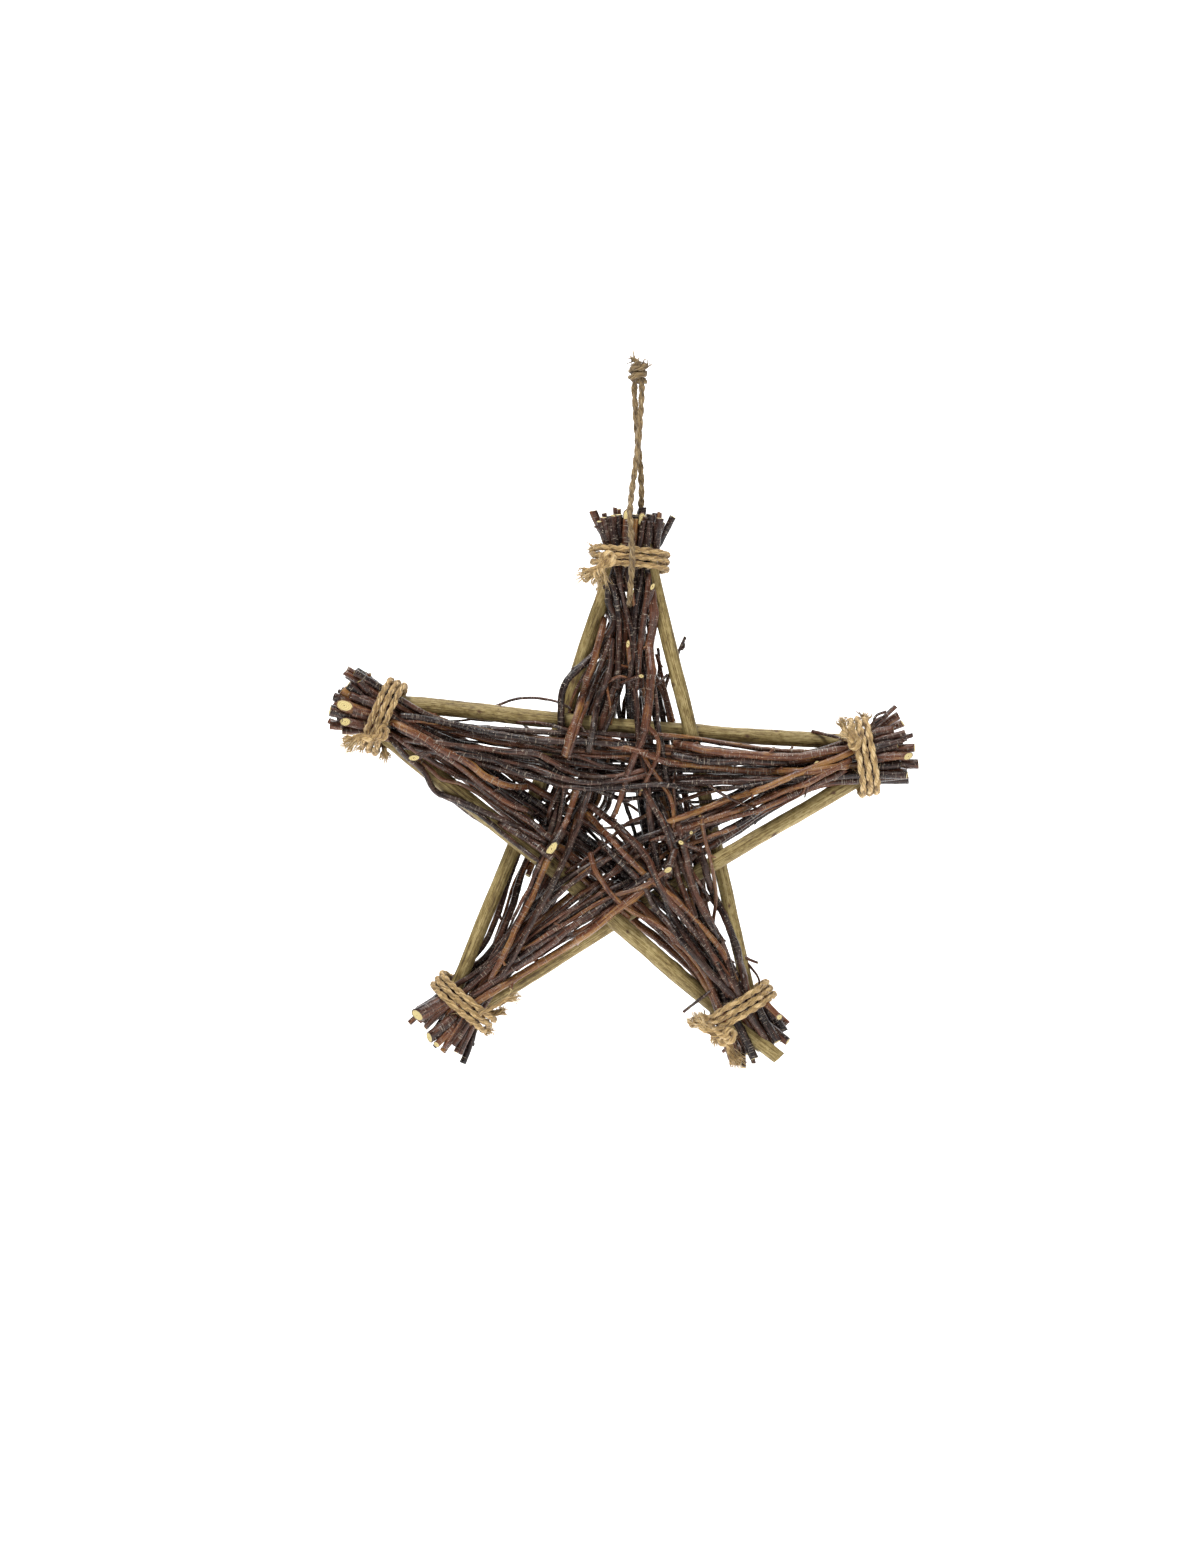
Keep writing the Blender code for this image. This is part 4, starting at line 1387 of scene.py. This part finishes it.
@dataclass
class TipStubs:
    """Short cut twigs that fill each tip's bundle beyond its binding."""

    finishes: Finishes
    count: int = 15
    start: float = -3 * MM
    lengths: Pair = (13 * MM, 23 * MM)
    radii: Pair = (1.0 * MM, 2.3 * MM)
    section: float = 9 * MM
    step: float = 1.3 * MM
    tries: int = 70
    splays: dict[str, Pair] = field(default_factory=lambda: {
        "top": (0.85, 1.1), "lower_left": (0.55, 0.85)})
    reaches: dict[str, Pair] = field(default_factory=lambda: {"lower_left": (9 * MM, 15 * MM)})
    # Where each peeled pole end begins and ends in the picture, and its radius in mm
    peeled: tuple[tuple[Pair, Pair, float], ...] = (((731, 1021), (778, 1056), 3.4),)
    splay: Pair = (1.0, 1.5)
    # Where each stub that the picture shows begins and ends, its radius in mm, its tone, and its cut's slant
    shown: tuple[tuple[Pair, Pair, float, float, float], ...] = (
        ((613, 548), (609, 519), 2.1, 0.3, 0.0), ((621, 548), (618, 515), 2.2, 0.2, 0.0),
        ((630, 548), (628, 517), 2.6, 0.5, 1.6), ((640, 548), (642, 520), 2.4, 0.6, 1.5),
        ((649, 548), (651, 515), 2.5, 0.2, 0.0), ((654, 550), (663, 523), 1.3, 0.4, 0.0),
        ((608, 550), (600, 522), 1.7, 0.3, 0.0), ((611, 550), (604, 518), 2.0, 0.45, 0.0),
        ((656, 550), (660, 519), 2.0, 0.3, 0.0), ((634, 548), (635, 515), 2.2, 0.25, 0.0),
        ((616, 550), (613, 516), 2.2, 0.5, 0.0), ((644, 549), (647, 517), 2.2, 0.35, 0.0),
        ((612, 550), (601, 528), 1.2, 0.3, 0.0), ((609, 552), (600, 545), 1.0, 0.3, 0.0),
        ((613, 552), (606, 527), 1.4, 1.0, 0.8), ((384, 704), (362, 681), 2.4, 0.3, 0.0),
        ((380, 708), (350, 685), 2.4, 0.2, 0.0), ((382, 712), (344, 691), 2.7, 1.0, 0.0),
        ((382, 714), (336, 697), 2.2, 0.5, 0.0), ((384, 718), (347, 706), 2.9, 0.85, 1.6),
        ((382, 724), (332, 711), 3.0, 0.25, 0.0), ((382, 728), (348, 722), 2.3, 0.6, 1.3),
        ((380, 730), (344, 731), 1.9, 0.4, 0.0), ((450, 997), (418, 1014), 3.7, 0.55, 0.6),
        ((458, 1014), (430, 1036), 2.9, 0.5, 0.5), ((462, 1018), (437, 1043), 1.7, 0.9, 0.6),
        ((742, 1034), (743, 1066), 1.2, 0.3, 0.0), ((747, 1032), (753, 1062), 1.2, 0.4, 0.0),
        ((756, 994), (778, 1015), 1.6, 0.95, 0.7), ((758, 1018), (787, 1040), 2.2, 0.5, 0.0),
        ((872, 742), (903, 733), 1.8, 0.4, 0.0), ((872, 752), (912, 748), 2.2, 0.6, 0.0),
        ((872, 762), (916, 764), 2.5, 0.3, 0.0), ((870, 757), (905, 757), 2.0, 0.8, 1.2),
    )
    growth: Growth = field(default_factory=lambda: Growth(
        joint_steps=(9 * MM, 20 * MM), kink=0.3 * MM, waver=0.25 * MM, bud_share=0.2, stub_share=0.1, sides=10))

    def build(self, piles: dict[str, Pile]) -> None:
        """Builds each tip's stubs where its bundle has most room.

        Args:
            piles: The sticks in place, by side.
        """
        for number, tip in enumerate(TIPS):
            dice = Dice(SEEDS["stubs"] + number)
            pot = Pot()
            found, sizes = self._cut_across(tip, piles)
            low, high = np.min(found, axis=0), np.max(found, axis=0)
            for _ in range(self.count):
                self._fill(pot, tip, found, sizes, (low, high), dice)
            self._shown(pot, tip, low[1], dice)
            self._pole_ends(tip, low[1], dice)
            pot.cook(f"tip_stubs_{tip}", self.finishes.twig, Slot.TWIG)

    def _cut_across(self, tip: str, piles: dict[str, Pile]) -> tuple[list, list]:
        """Finds where the main sticks pass a section just beyond a tip's binding.

        Args:
            tip: The tip.
            piles: The sticks in place, by side.

        Returns:
            Each stick's place across the section and in depth, and its radius.
        """
        place, out, aside = tip_frame(tip)
        found, sizes = [], []
        for side, ends in SIDES.items():
            if tip not in ends:
                continue
            for stick in piles[side].sticks[:MAIN_STICKS]:
                offset = stick.line[:, [0, 2]] - place
                ahead = offset @ out
                at = np.abs(ahead - self.section).argmin()
                if abs(ahead[at] - self.section) < 2.5 * MM:
                    found.append((offset[at] @ aside, stick.line[at, 1]))
                    sizes.append(stick.radii[at])
        return found, sizes

    def _fill(self, pot: Pot, tip: str, found: list, sizes: list, box: tuple[Array, Array], dice: Dice) -> None:
        """Adds a stub where a tip's bundle has most room.

        Args:
            pot: Where its tubes go.
            tip: The tip.
            found: Where sticks are across the section. The stub is added to it.
            sizes: Their radii, to which the stub's is added.
            box: The lowest and the highest of those places.
            dice: The source of its randomness.
        """
        place, out, aside = tip_frame(tip)
        low, high = box
        best, room = None, -1.0
        for _ in range(self.tries):
            angle, share = dice.uniform(0, 2 * math.pi), math.sqrt(dice.random())
            spot = (low + high) / 2 + (high - low) / 2 * share * np.array([math.cos(angle), math.sin(angle)])
            gap = (np.linalg.norm(np.array(found) - spot, axis=1) - np.array(sizes)).min()
            if gap > room:
                best, room = spot, gap
        radius = min(max(room, self.radii[0]), self.radii[1])
        found.append(tuple(best))
        sizes.append(radius)
        reach = dice.uniform(*self.reaches.get(tip, self.lengths))
        splay = dice.uniform(*self.splays.get(tip, self.splay))
        ahead = np.linspace(self.start, reach, 12)
        grow = 1 + (splay - 1) * np.clip(ahead / reach, 0, 1)
        plan = place + out * ahead[:, None] + aside * (best[0] * 0.92 * grow)[:, None]
        depth = (low[1] + high[1]) / 2 + (best[1] - (low[1] + high[1]) / 2) * np.clip(0.86 * grow, 0, 1.15)
        stick = Stick.along(at_depth(plan, depth), np.full(len(plan), radius), self.step)
        self.growth.dress(pot, stick, dice.random(), dice, 0.25)

    def _shown(self, pot: Pot, tip: str, front: float, dice: Dice) -> None:
        """Adds the stubs that the picture shows at a tip, near the front of its bundle.

        Args:
            pot: Where its tubes go.
            tip: The tip.
            front: The depth of the bundle's front there.
            dice: The source of its randomness.
        """
        for begin, end, thick, tone, slope in self.shown:
            spots = in_photo(begin, end)
            if np.linalg.norm(spots[0] - TIPS[tip]) > TIP_REACH:
                continue
            level = front + (1.2 + dice.uniform(0, 3)) * MM + thick * MM * 0.5
            if slope and tip != "top":
                level = front + (0.5 * thick - 1.6) * MM
            line = at_depth(straight(*spots, 12), np.linspace(level + 3 * MM, level, 12))
            stick = Stick.along(line, np.full(12, thick * MM), self.step)
            self.growth.dress(pot, stick, tone, dice, 0.25, slope)

    def _pole_ends(self, tip: str, front: float, dice: Dice) -> None:
        """Adds the end of a peeled pole that shows beyond a tip's binding.

        Args:
            tip: The tip.
            front: The depth of the bundle's front there.
            dice: The source of its randomness.
        """
        for begin, end, thick in self.peeled:
            spots = in_photo(begin, end)
            if np.linalg.norm(spots[0] - TIPS[tip]) > TIP_REACH:
                continue
            line = at_depth(straight(*spots, 16), front + np.linspace(5.0, 0.6, 16) * MM)
            pot = Pot()
            wood = Poles(self.finishes)
            wood.dress(pot, Stick.along(line, np.full(16, thick * MM), wood.step), dice, in_photo())
            pot.cook(f"pole_end_{tip}", self.finishes.pole, Slot.POLE)


@dataclass(frozen=True)
class Rope:
    """Two-ply jute twine: each ply is a ring of fibre strands twisted the other way."""

    diameter: float = 3.3 * MM
    strands: int = 7
    ply_turn: float = 13.0 * MM
    strand_turn: float = 9.0 * MM
    step: float = 1.0 * MM
    hairs: float = 0.95
    brush: int = 60
    ply_out: float = 0.36
    ply_size: float = 0.72
    strand_out: float = 0.64
    strand_size: float = 0.38
    tones: Pair = (0.3, 0.7)

    def lay(self, pot: Pot, route: Array, dice: Dice, frays: Pair, fuzz: Pot | None = None) -> Array:
        """Adds the rope.

        Args:
            pot: Where its strands go.
            route: Points on its centre line.
            dice: The source of its randomness.
            frays: How long the loosened stretch at each end is.
            fuzz: Where its stray fibres go, if they are a piece of their own.

        Returns:
            The rope's centre line.
        """
        line = even_curve(route, self.step)
        marks = arc_marks(line)
        _, across, upward = frames_along(line)
        loose = np.zeros(len(marks))
        for away, length in ((marks, frays[0]), (marks[-1] - marks, frays[1])):
            if length:
                loose = np.maximum(loose, np.clip(1 - away / length, 0, 1))
        radius = self.diameter / 2
        twist = 1.0 + 0.10 * ripple(marks, 30 * MM, dice)
        ply_angle = 2 * math.pi * np.cumsum(np.r_[0.0, np.diff(marks)] * twist) / self.ply_turn
        for ply in (0, 1):
            ply_tone = dice.uniform(*self.tones)
            ply_radius = radius * self.ply_size * (1 + 0.07 * ripple(marks, 16 * MM, dice))
            angle = ply_angle + math.pi * ply
            out = radius * self.ply_out * (1 + 3.2 * loose**1.3)
            centre = line + (out * np.cos(angle))[:, None] * across + (out * np.sin(angle))[:, None] * upward
            for strand in range(self.strands):
                turn = -2 * math.pi * marks / self.strand_turn + 2 * math.pi * strand / self.strands
                turn = turn + 0.25 * ripple(marks, 12 * MM, dice) + 0.6 * loose * dice.uniform(-1, 1)
                opened = 1 + 2.2 * loose * dice.uniform(0.2, 1.0)
                away = ply_radius * self.strand_out * opened * (1 + 0.08 * ripple(marks, 5 * MM, dice))
                thick = ply_radius * self.strand_size * (1 + 0.14 * ripple(marks, 8 * MM, dice)) * (1 - 0.5 * loose)
                path = centre + (away * np.cos(turn))[:, None] * across + (away * np.sin(turn))[:, None] * upward
                keep = len(path) if not frays[1] else len(path) - dice.randrange(0, 4)
                skip = 0 if not frays[0] else dice.randrange(0, 4)
                tone = min(1.0, max(0.0, ply_tone + dice.uniform(-0.28, 0.28)))
                pot.tube(Tube(path[skip:keep], thick[skip:keep], 4, tone))
        self._hairs(fuzz or pot, line, across, upward, loose, dice)
        for end, length in zip((0, -1), frays):
            if length > 4 * MM:
                self._brush(pot, line, end, length, dice)
        return line

    def _brush(self, pot: Pot, line: Array, end: int, length: float, dice: Dice) -> None:
        """Adds the fan of loosened fibres at a frayed end.

        Args:
            pot: Where its fibres go.
            line: The rope's centre line.
            end: 0 for its start and -1 for its end.
            length: How long the loosened stretch is.
            dice: The source of its randomness.
        """
        steps = int(length / self.step)
        root = line[steps if end == 0 else -1 - steps]
        heading = unit(line[end] - root)
        for _ in range(self.brush):
            spot = scatter(dice) * self.diameter * 0.2
            away = unit(heading + 0.24 * scatter(dice))
            droop = 0.2 * scatter(dice) - (0.0, 0.0, 0.12)
            reach = length * dice.uniform(0.7, 1.35)
            shares = np.linspace(0, 1, 7)[:, None]
            path = root + spot + away * reach * shares + droop * reach * shares**2
            thick = dice.uniform(0.08, 0.22) * MM * np.array([1, 1, 1, 0.95, 0.85, 0.65, 0.35])
            pot.tube(Tube(path, thick, 3, dice.uniform(0.35, 1.0)))

    def _hairs(self, pot: Pot, line: Array, across: Array, upward: Array, loose: Array, dice: Dice) -> None:
        """Adds the stray fibres that stand off the rope.

        Args:
            pot: Where they go.
            line: The rope's centre line.
            across: A direction across it at each point.
            upward: The other direction across it.
            loose: How far it has come undone there, from 0 to 1.
            dice: The source of its randomness.
        """
        tangents = np.gradient(line, axis=0)
        for k in range(2, len(line) - 2):
            if dice.random() > self.hairs * (1 + 6 * loose[k]):
                continue
            angle = dice.uniform(0, 2 * math.pi)
            outward = math.cos(angle) * across[k] + math.sin(angle) * upward[k]
            along = unit(tangents[k]) * dice.choice((-1, 1))
            lift = dice.uniform(0.08, 0.6) + 0.5 * loose[k]
            heading = unit(along + outward * lift)
            bend = unit(scatter(dice) - (0.0, 0.0, 0.5))
            length = dice.uniform(1.6, 5.5) * MM
            shares = np.linspace(0, 1, 6)[:, None]
            start = line[k] + outward * self.diameter * 0.42
            path = start + heading * length * shares + bend * length * dice.uniform(0.1, 0.45) * shares**2
            thick = dice.uniform(0.035, 0.07) * MM * np.array([1, 1, 0.95, 0.85, 0.6, 0.3])
            pot.tube(Tube(path, thick, 3, dice.uniform(0.3, 1.0)))


@dataclass
class Bindings:
    """The twine wound round each tip, with its frayed tails."""

    finishes: Finishes
    rope: Rope = field(default_factory=Rope)
    fray: float = 5 * MM
    stout: Rope = field(default_factory=lambda: Rope(diameter=4.2 * MM, brush=90))
    slim: Rope = field(default_factory=lambda: Rope(diameter=2.3 * MM, brush=45, tones=(0.1, 0.4)))
    slim_tails: tuple[str, ...] = ("lower_left",)
    trim: float = 9.5 * MM
    proud: float = 2.2 * MM
    slim_fray: float = 8 * MM
    stout_fray: float = 9 * MM
    half_knot: Triple = (2.3 * MM, 1.2 * MM, 2.9 * MM)
    # From a tip's middle towards the end that its twine is read from
    start: Triple = (0.03, -0.03, 0.09)
    tails: dict[str, tuple[tuple[Pair, ...], ...]] = field(default_factory=lambda: {
        "top": (((609, 560), (603, 566), (598, 575), (600, 585)), ((606, 561), (599, 570), (590, 575), (579, 577))),
        "left": (((385, 733), (377, 739), (365, 738), (355, 741), (347, 746)),),
        "right": (((851, 742), (848, 737), (845, 732), (842, 727)),),
        "lower_left": (((480, 1012), (490, 1007), (499, 1003), (508, 998), (521, 993)),),
        "lower_right": (((728, 1032), (717, 1032), (706, 1027), (697, 1020), (690, 1013)),
                        ((722, 1036), (728, 1043), (730, 1051), (738, 1062))),
    })

    def build(self) -> None:
        """Builds the five bindings."""
        for number, tip in enumerate(TIPS):
            dice = Dice(SEEDS["bindings"] + number)
            route, _ = facing(*route_of(f"binding_{tip}", ROUND_CORNERS), tip_place(tip) + np.array(self.start))
            pot = Pot()
            whole = even_curve(route, 0.5 * MM)
            marks = arc_marks(whole)
            kept = whole[(marks >= self.trim) & (marks <= marks[-1] - self.trim)]
            self.rope.lay(pot, kept, dice, (self.fray, self.fray))
            for spots in self.tails[tip]:
                self._tail(pot, route, in_photo(*spots), dice, tip in self.slim_tails)
            piece = pot.cook(f"bound_twine_{tip}", [self.finishes.jute], Slot.TWINE)
            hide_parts(f"binding_{tip}")
            LOG.info("%s: %.0f mm of twine", piece.name, arc_marks(route)[-1] / MM)

    def _tail(self, pot: Pot, route: Array, spots: Array, dice: Dice, slim: bool) -> None:
        """Adds a frayed tail and, where it is a stout one, the half knot that it leaves.

        Args:
            pot: Where its strands go.
            route: The binding's centre line.
            spots: Where the tail runs, in x and z.
            dice: The source of its randomness.
            slim: Whether it is one of the thin, darker tails.
        """
        front = route[route[:, 1] < route[:, 1].mean()]
        nearest = front[np.linalg.norm(front[:, [0, 2]] - spots[0], axis=1).argmin()]
        depth = nearest[1] - self.proud
        line = at_depth(spots, depth)
        if slim:
            self.slim.lay(pot, line, dice, (0.0, self.slim_fray))
            return
        self.stout.lay(pot, line, dice, (0.0, self.stout_fray))
        turn = np.linspace(0, 2 * math.pi, 14)
        wide, deep, high = self.half_knot
        ring = np.column_stack([wide * np.cos(turn), deep * np.sin(2 * turn), high * np.sin(turn)])
        self.rope.lay(pot, line[0] + ring, dice, (0.0, 0.0))


@dataclass
class Hanger:
    """The loop of twine that the star hangs by, and its knot."""

    finishes: Finishes
    rope: Rope = field(default_factory=lambda: Rope(hairs=0.7))
    fray: float = 3 * MM
    # The loop's own route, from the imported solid's list, and the knot's, all in mm
    route: tuple[Triple, ...] = (
        (2.0, -1.9, -1.0), (1.5, -1.9, -11.0), (0.7, -1.9, -23.0), (-0.5, -1.9, -35.0),
        (-2.0, -2.6, -46.0), (-3.4, -5.4, -56.5), (-4.2, -9.9, -67.0), (-3.6, -13.5, -78.0),
        (-3.1, -14.6, -89.0), (-3.5, -13.9, -99.0), (-4.2, -11.0, -107.0), (-4.4, -4.5, -111.8),
        (-4.4, 4.5, -113.0), (-4.4, 14.5, -112.0), (-4.1, 22.8, -107.0), (-3.6, 27.2, -98.5),
        (-2.9, 27.6, -88.5), (-1.3, 25.6, -78.0), (0.5, 17.6, -67.5), (1.8, 8.0, -57.0),
        (1.5, 3.0, -46.0), (0.5, 1.9, -34.5), (-0.6, 1.9, -22.5), (-1.4, 1.9, -11.0),
        (-2.0, 1.9, -1.0),
    )
    knot_runs: tuple[tuple[Triple, ...], ...] = (
        ((1.9, -1.8, -2.0), (1.7, -1.3, 1.5), (1.2, -0.6, 5.0), (0.9, 0.0, 8.5), (2.6, 0.2, 11.6)),
        ((-1.9, 1.8, -2.0), (-1.7, 1.3, 1.5), (-1.2, 0.6, 5.0), (-0.9, 0.0, 8.5), (-2.8, -0.2, 12.2)),
        ((-2.9, -1.2, 2.4), (-0.8, -2.7, 4.6), (2.3, -1.9, 7.4), (3.0, 0.7, 8.8), (0.7, 2.3, 8.2), (-2.2, 1.8, 6.6),
         (-2.9, -0.6, 7.8), (-1.2, -2.3, 9.6), (1.4, -1.4, 10.9)),
    )

    def build(self) -> None:
        route, _ = facing(*route_of("hanging_knot", ROUND_CORNERS), np.array([-0.01, 0.0, 0.02]))
        pot = Pot()
        self.rope.lay(pot, route, Dice(SEEDS["knot"]), (self.fray, self.fray))
        for number, points in enumerate(self.knot_runs):
            self.rope.lay(pot, np.array(points) * MM, Dice(SEEDS["knot_runs"] + number), (0.0, self.fray))
        knot = pot.cook("knot_twine", [self.finishes.worn_jute], Slot.TWINE)
        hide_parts("hanging_knot")
        path = np.array(self.route) * MM
        pot, fuzz = Pot(), Pot()
        line = self.rope.lay(pot, path, Dice(SEEDS["loop"]), (0.0, 0.0), fuzz)
        loop = pot.cook("loop_twine", [self.finishes.worn_jute], Slot.TWINE)
        fibres = fuzz.cook("loop_fibres", [self.finishes.worn_jute], Slot.TWINE)
        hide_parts("hanging_twine")


@dataclass(frozen=True)
class Lamp:
    """A soft square light, with its place, its width, its power and what it is turned to."""

    name: str
    place: Triple
    size: float
    power: float
    aim: Triple = (-0.02, 0.0, -0.2)

    def build(self) -> None:
        """Makes the light."""
        lamp = bpy.data.lights.new(self.name, "AREA")
        lamp.shape = "SQUARE"
        lamp.size = self.size
        lamp.energy = self.power
        holder = put(self.name, lamp)
        holder.location = self.place
        gaze = np.array(self.aim) - np.array(self.place)
        pitch = math.atan2(math.hypot(gaze[0], gaze[1]), -gaze[2])
        holder.rotation_euler = (pitch, 0.0, math.atan2(gaze[1], gaze[0]) - math.pi / 2)


@dataclass
class Studio:
    """The pale sweep behind and under the star, the soft lights and the camera."""

    floor: float = -0.62
    wall: float = 2.6
    reach: float = 6.0
    bend: float = 0.7
    aim: Pair = (-0.0194, -0.2007)
    frame_height: float = 0.794
    away: float = 1.8
    sensor: float = 36.0
    paper: float = 0.93
    glow: float = 0.7
    daylight: float = 0.13
    lamps: tuple[Lamp, ...] = (
        Lamp("key", (-0.5, -1.0, 1.6), 0.5, 44.0),
        Lamp("fill", (1.4, -1.7, 0.3), 0.9, 9.5),
        Lamp("wall_wash", (0.0, 0.9, 2.6), 2.4, 60.0, (0.0, 2.6, 0.0)),
    )

    def camera(self) -> None:
        """Makes the camera, square on to the star as the photograph is."""
        lens = bpy.data.cameras.new("view")
        lens.sensor_width = self.sensor
        lens.lens = self.sensor * self.away / self.frame_height
        lens.clip_start, lens.clip_end = 0.05, 30.0
        camera = put("view", lens)
        camera.location = (self.aim[0], -self.away, self.aim[1])
        camera.rotation_euler = (math.pi / 2, 0.0, 0.0)
        bpy.context.scene.camera = camera

    def sweep(self) -> None:
        """Makes the floor and the wall behind it as one curved sheet."""
        profile = [(-self.reach, self.floor)]
        for turn in np.linspace(0, math.pi / 2, 13):
            back = self.wall - self.bend + self.bend * math.sin(turn)
            profile.append((back, self.floor + self.bend * (1 - math.cos(turn))))
        profile.append((self.wall, self.reach))
        places = [(x, y, z) for y, z in profile for x in (-self.reach, self.reach)]
        faces = [(2 * k, 2 * k + 1, 2 * k + 3, 2 * k + 2) for k in range(len(profile) - 1)]
        mesh = bpy.data.meshes.new("sweep")
        mesh.from_pydata(places, [], faces)
        mesh.shade_smooth()
        nodes = Nodes("pale_paper")
        nodes.shader.inputs["Base Color"].default_value = (self.paper, self.paper, self.paper, 1.0)
        nodes.shader.inputs["Roughness"].default_value = 0.95
        nodes.shader.inputs["Specular IOR Level"].default_value = 0.0
        nodes.shader.inputs["Emission Color"].default_value = (1.0, 1.0, 1.0, 1.0)
        nodes.shader.inputs["Emission Strength"].default_value = self.glow
        mesh.materials.append(nodes.material)
        sheet = put("sweep", mesh)

    def lights(self) -> None:
        """Makes the soft lights."""
        world = bpy.data.worlds.new("room")
        world.use_nodes = True
        backdrop = world.node_tree.nodes["Background"]
        backdrop.inputs[0].default_value = (1.0, 1.0, 1.0, 1.0)
        backdrop.inputs[1].default_value = self.daylight
        bpy.context.scene.world = world
        for lamp in self.lamps:
            lamp.build()

    def build(self) -> None:
        """Makes the stage, the lights and the camera."""
        self.camera()
        self.sweep()
        self.lights()
        scene = bpy.context.scene
        scene.view_settings.view_transform = "Standard"
        scene.view_settings.look = "None"


def clear_start() -> None:
    """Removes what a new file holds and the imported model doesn't."""
    kept = set(frame["nodes"].values()) | set(frame["bodies"].values())
    for thing in list(bpy.data.objects):
        if thing not in kept:
            bpy.data.objects.remove(thing)


def main() -> None:
    """Builds the star in order."""
    logging.basicConfig(level=logging.INFO, format="%(name)s %(message)s")
    clear_start()
    Studio().build()
    finishes = Finishes.make()
    Hanger(finishes).build()
    Bindings(finishes).build()
    piles = {side: Pile() for side in SIDES}
    Poles(finishes).build(piles)
    Twigs(finishes).build(piles)
    TipStubs(finishes).build(piles)
    LooseTwigs(finishes).build(piles)


if __name__ == "__main__":
    main()
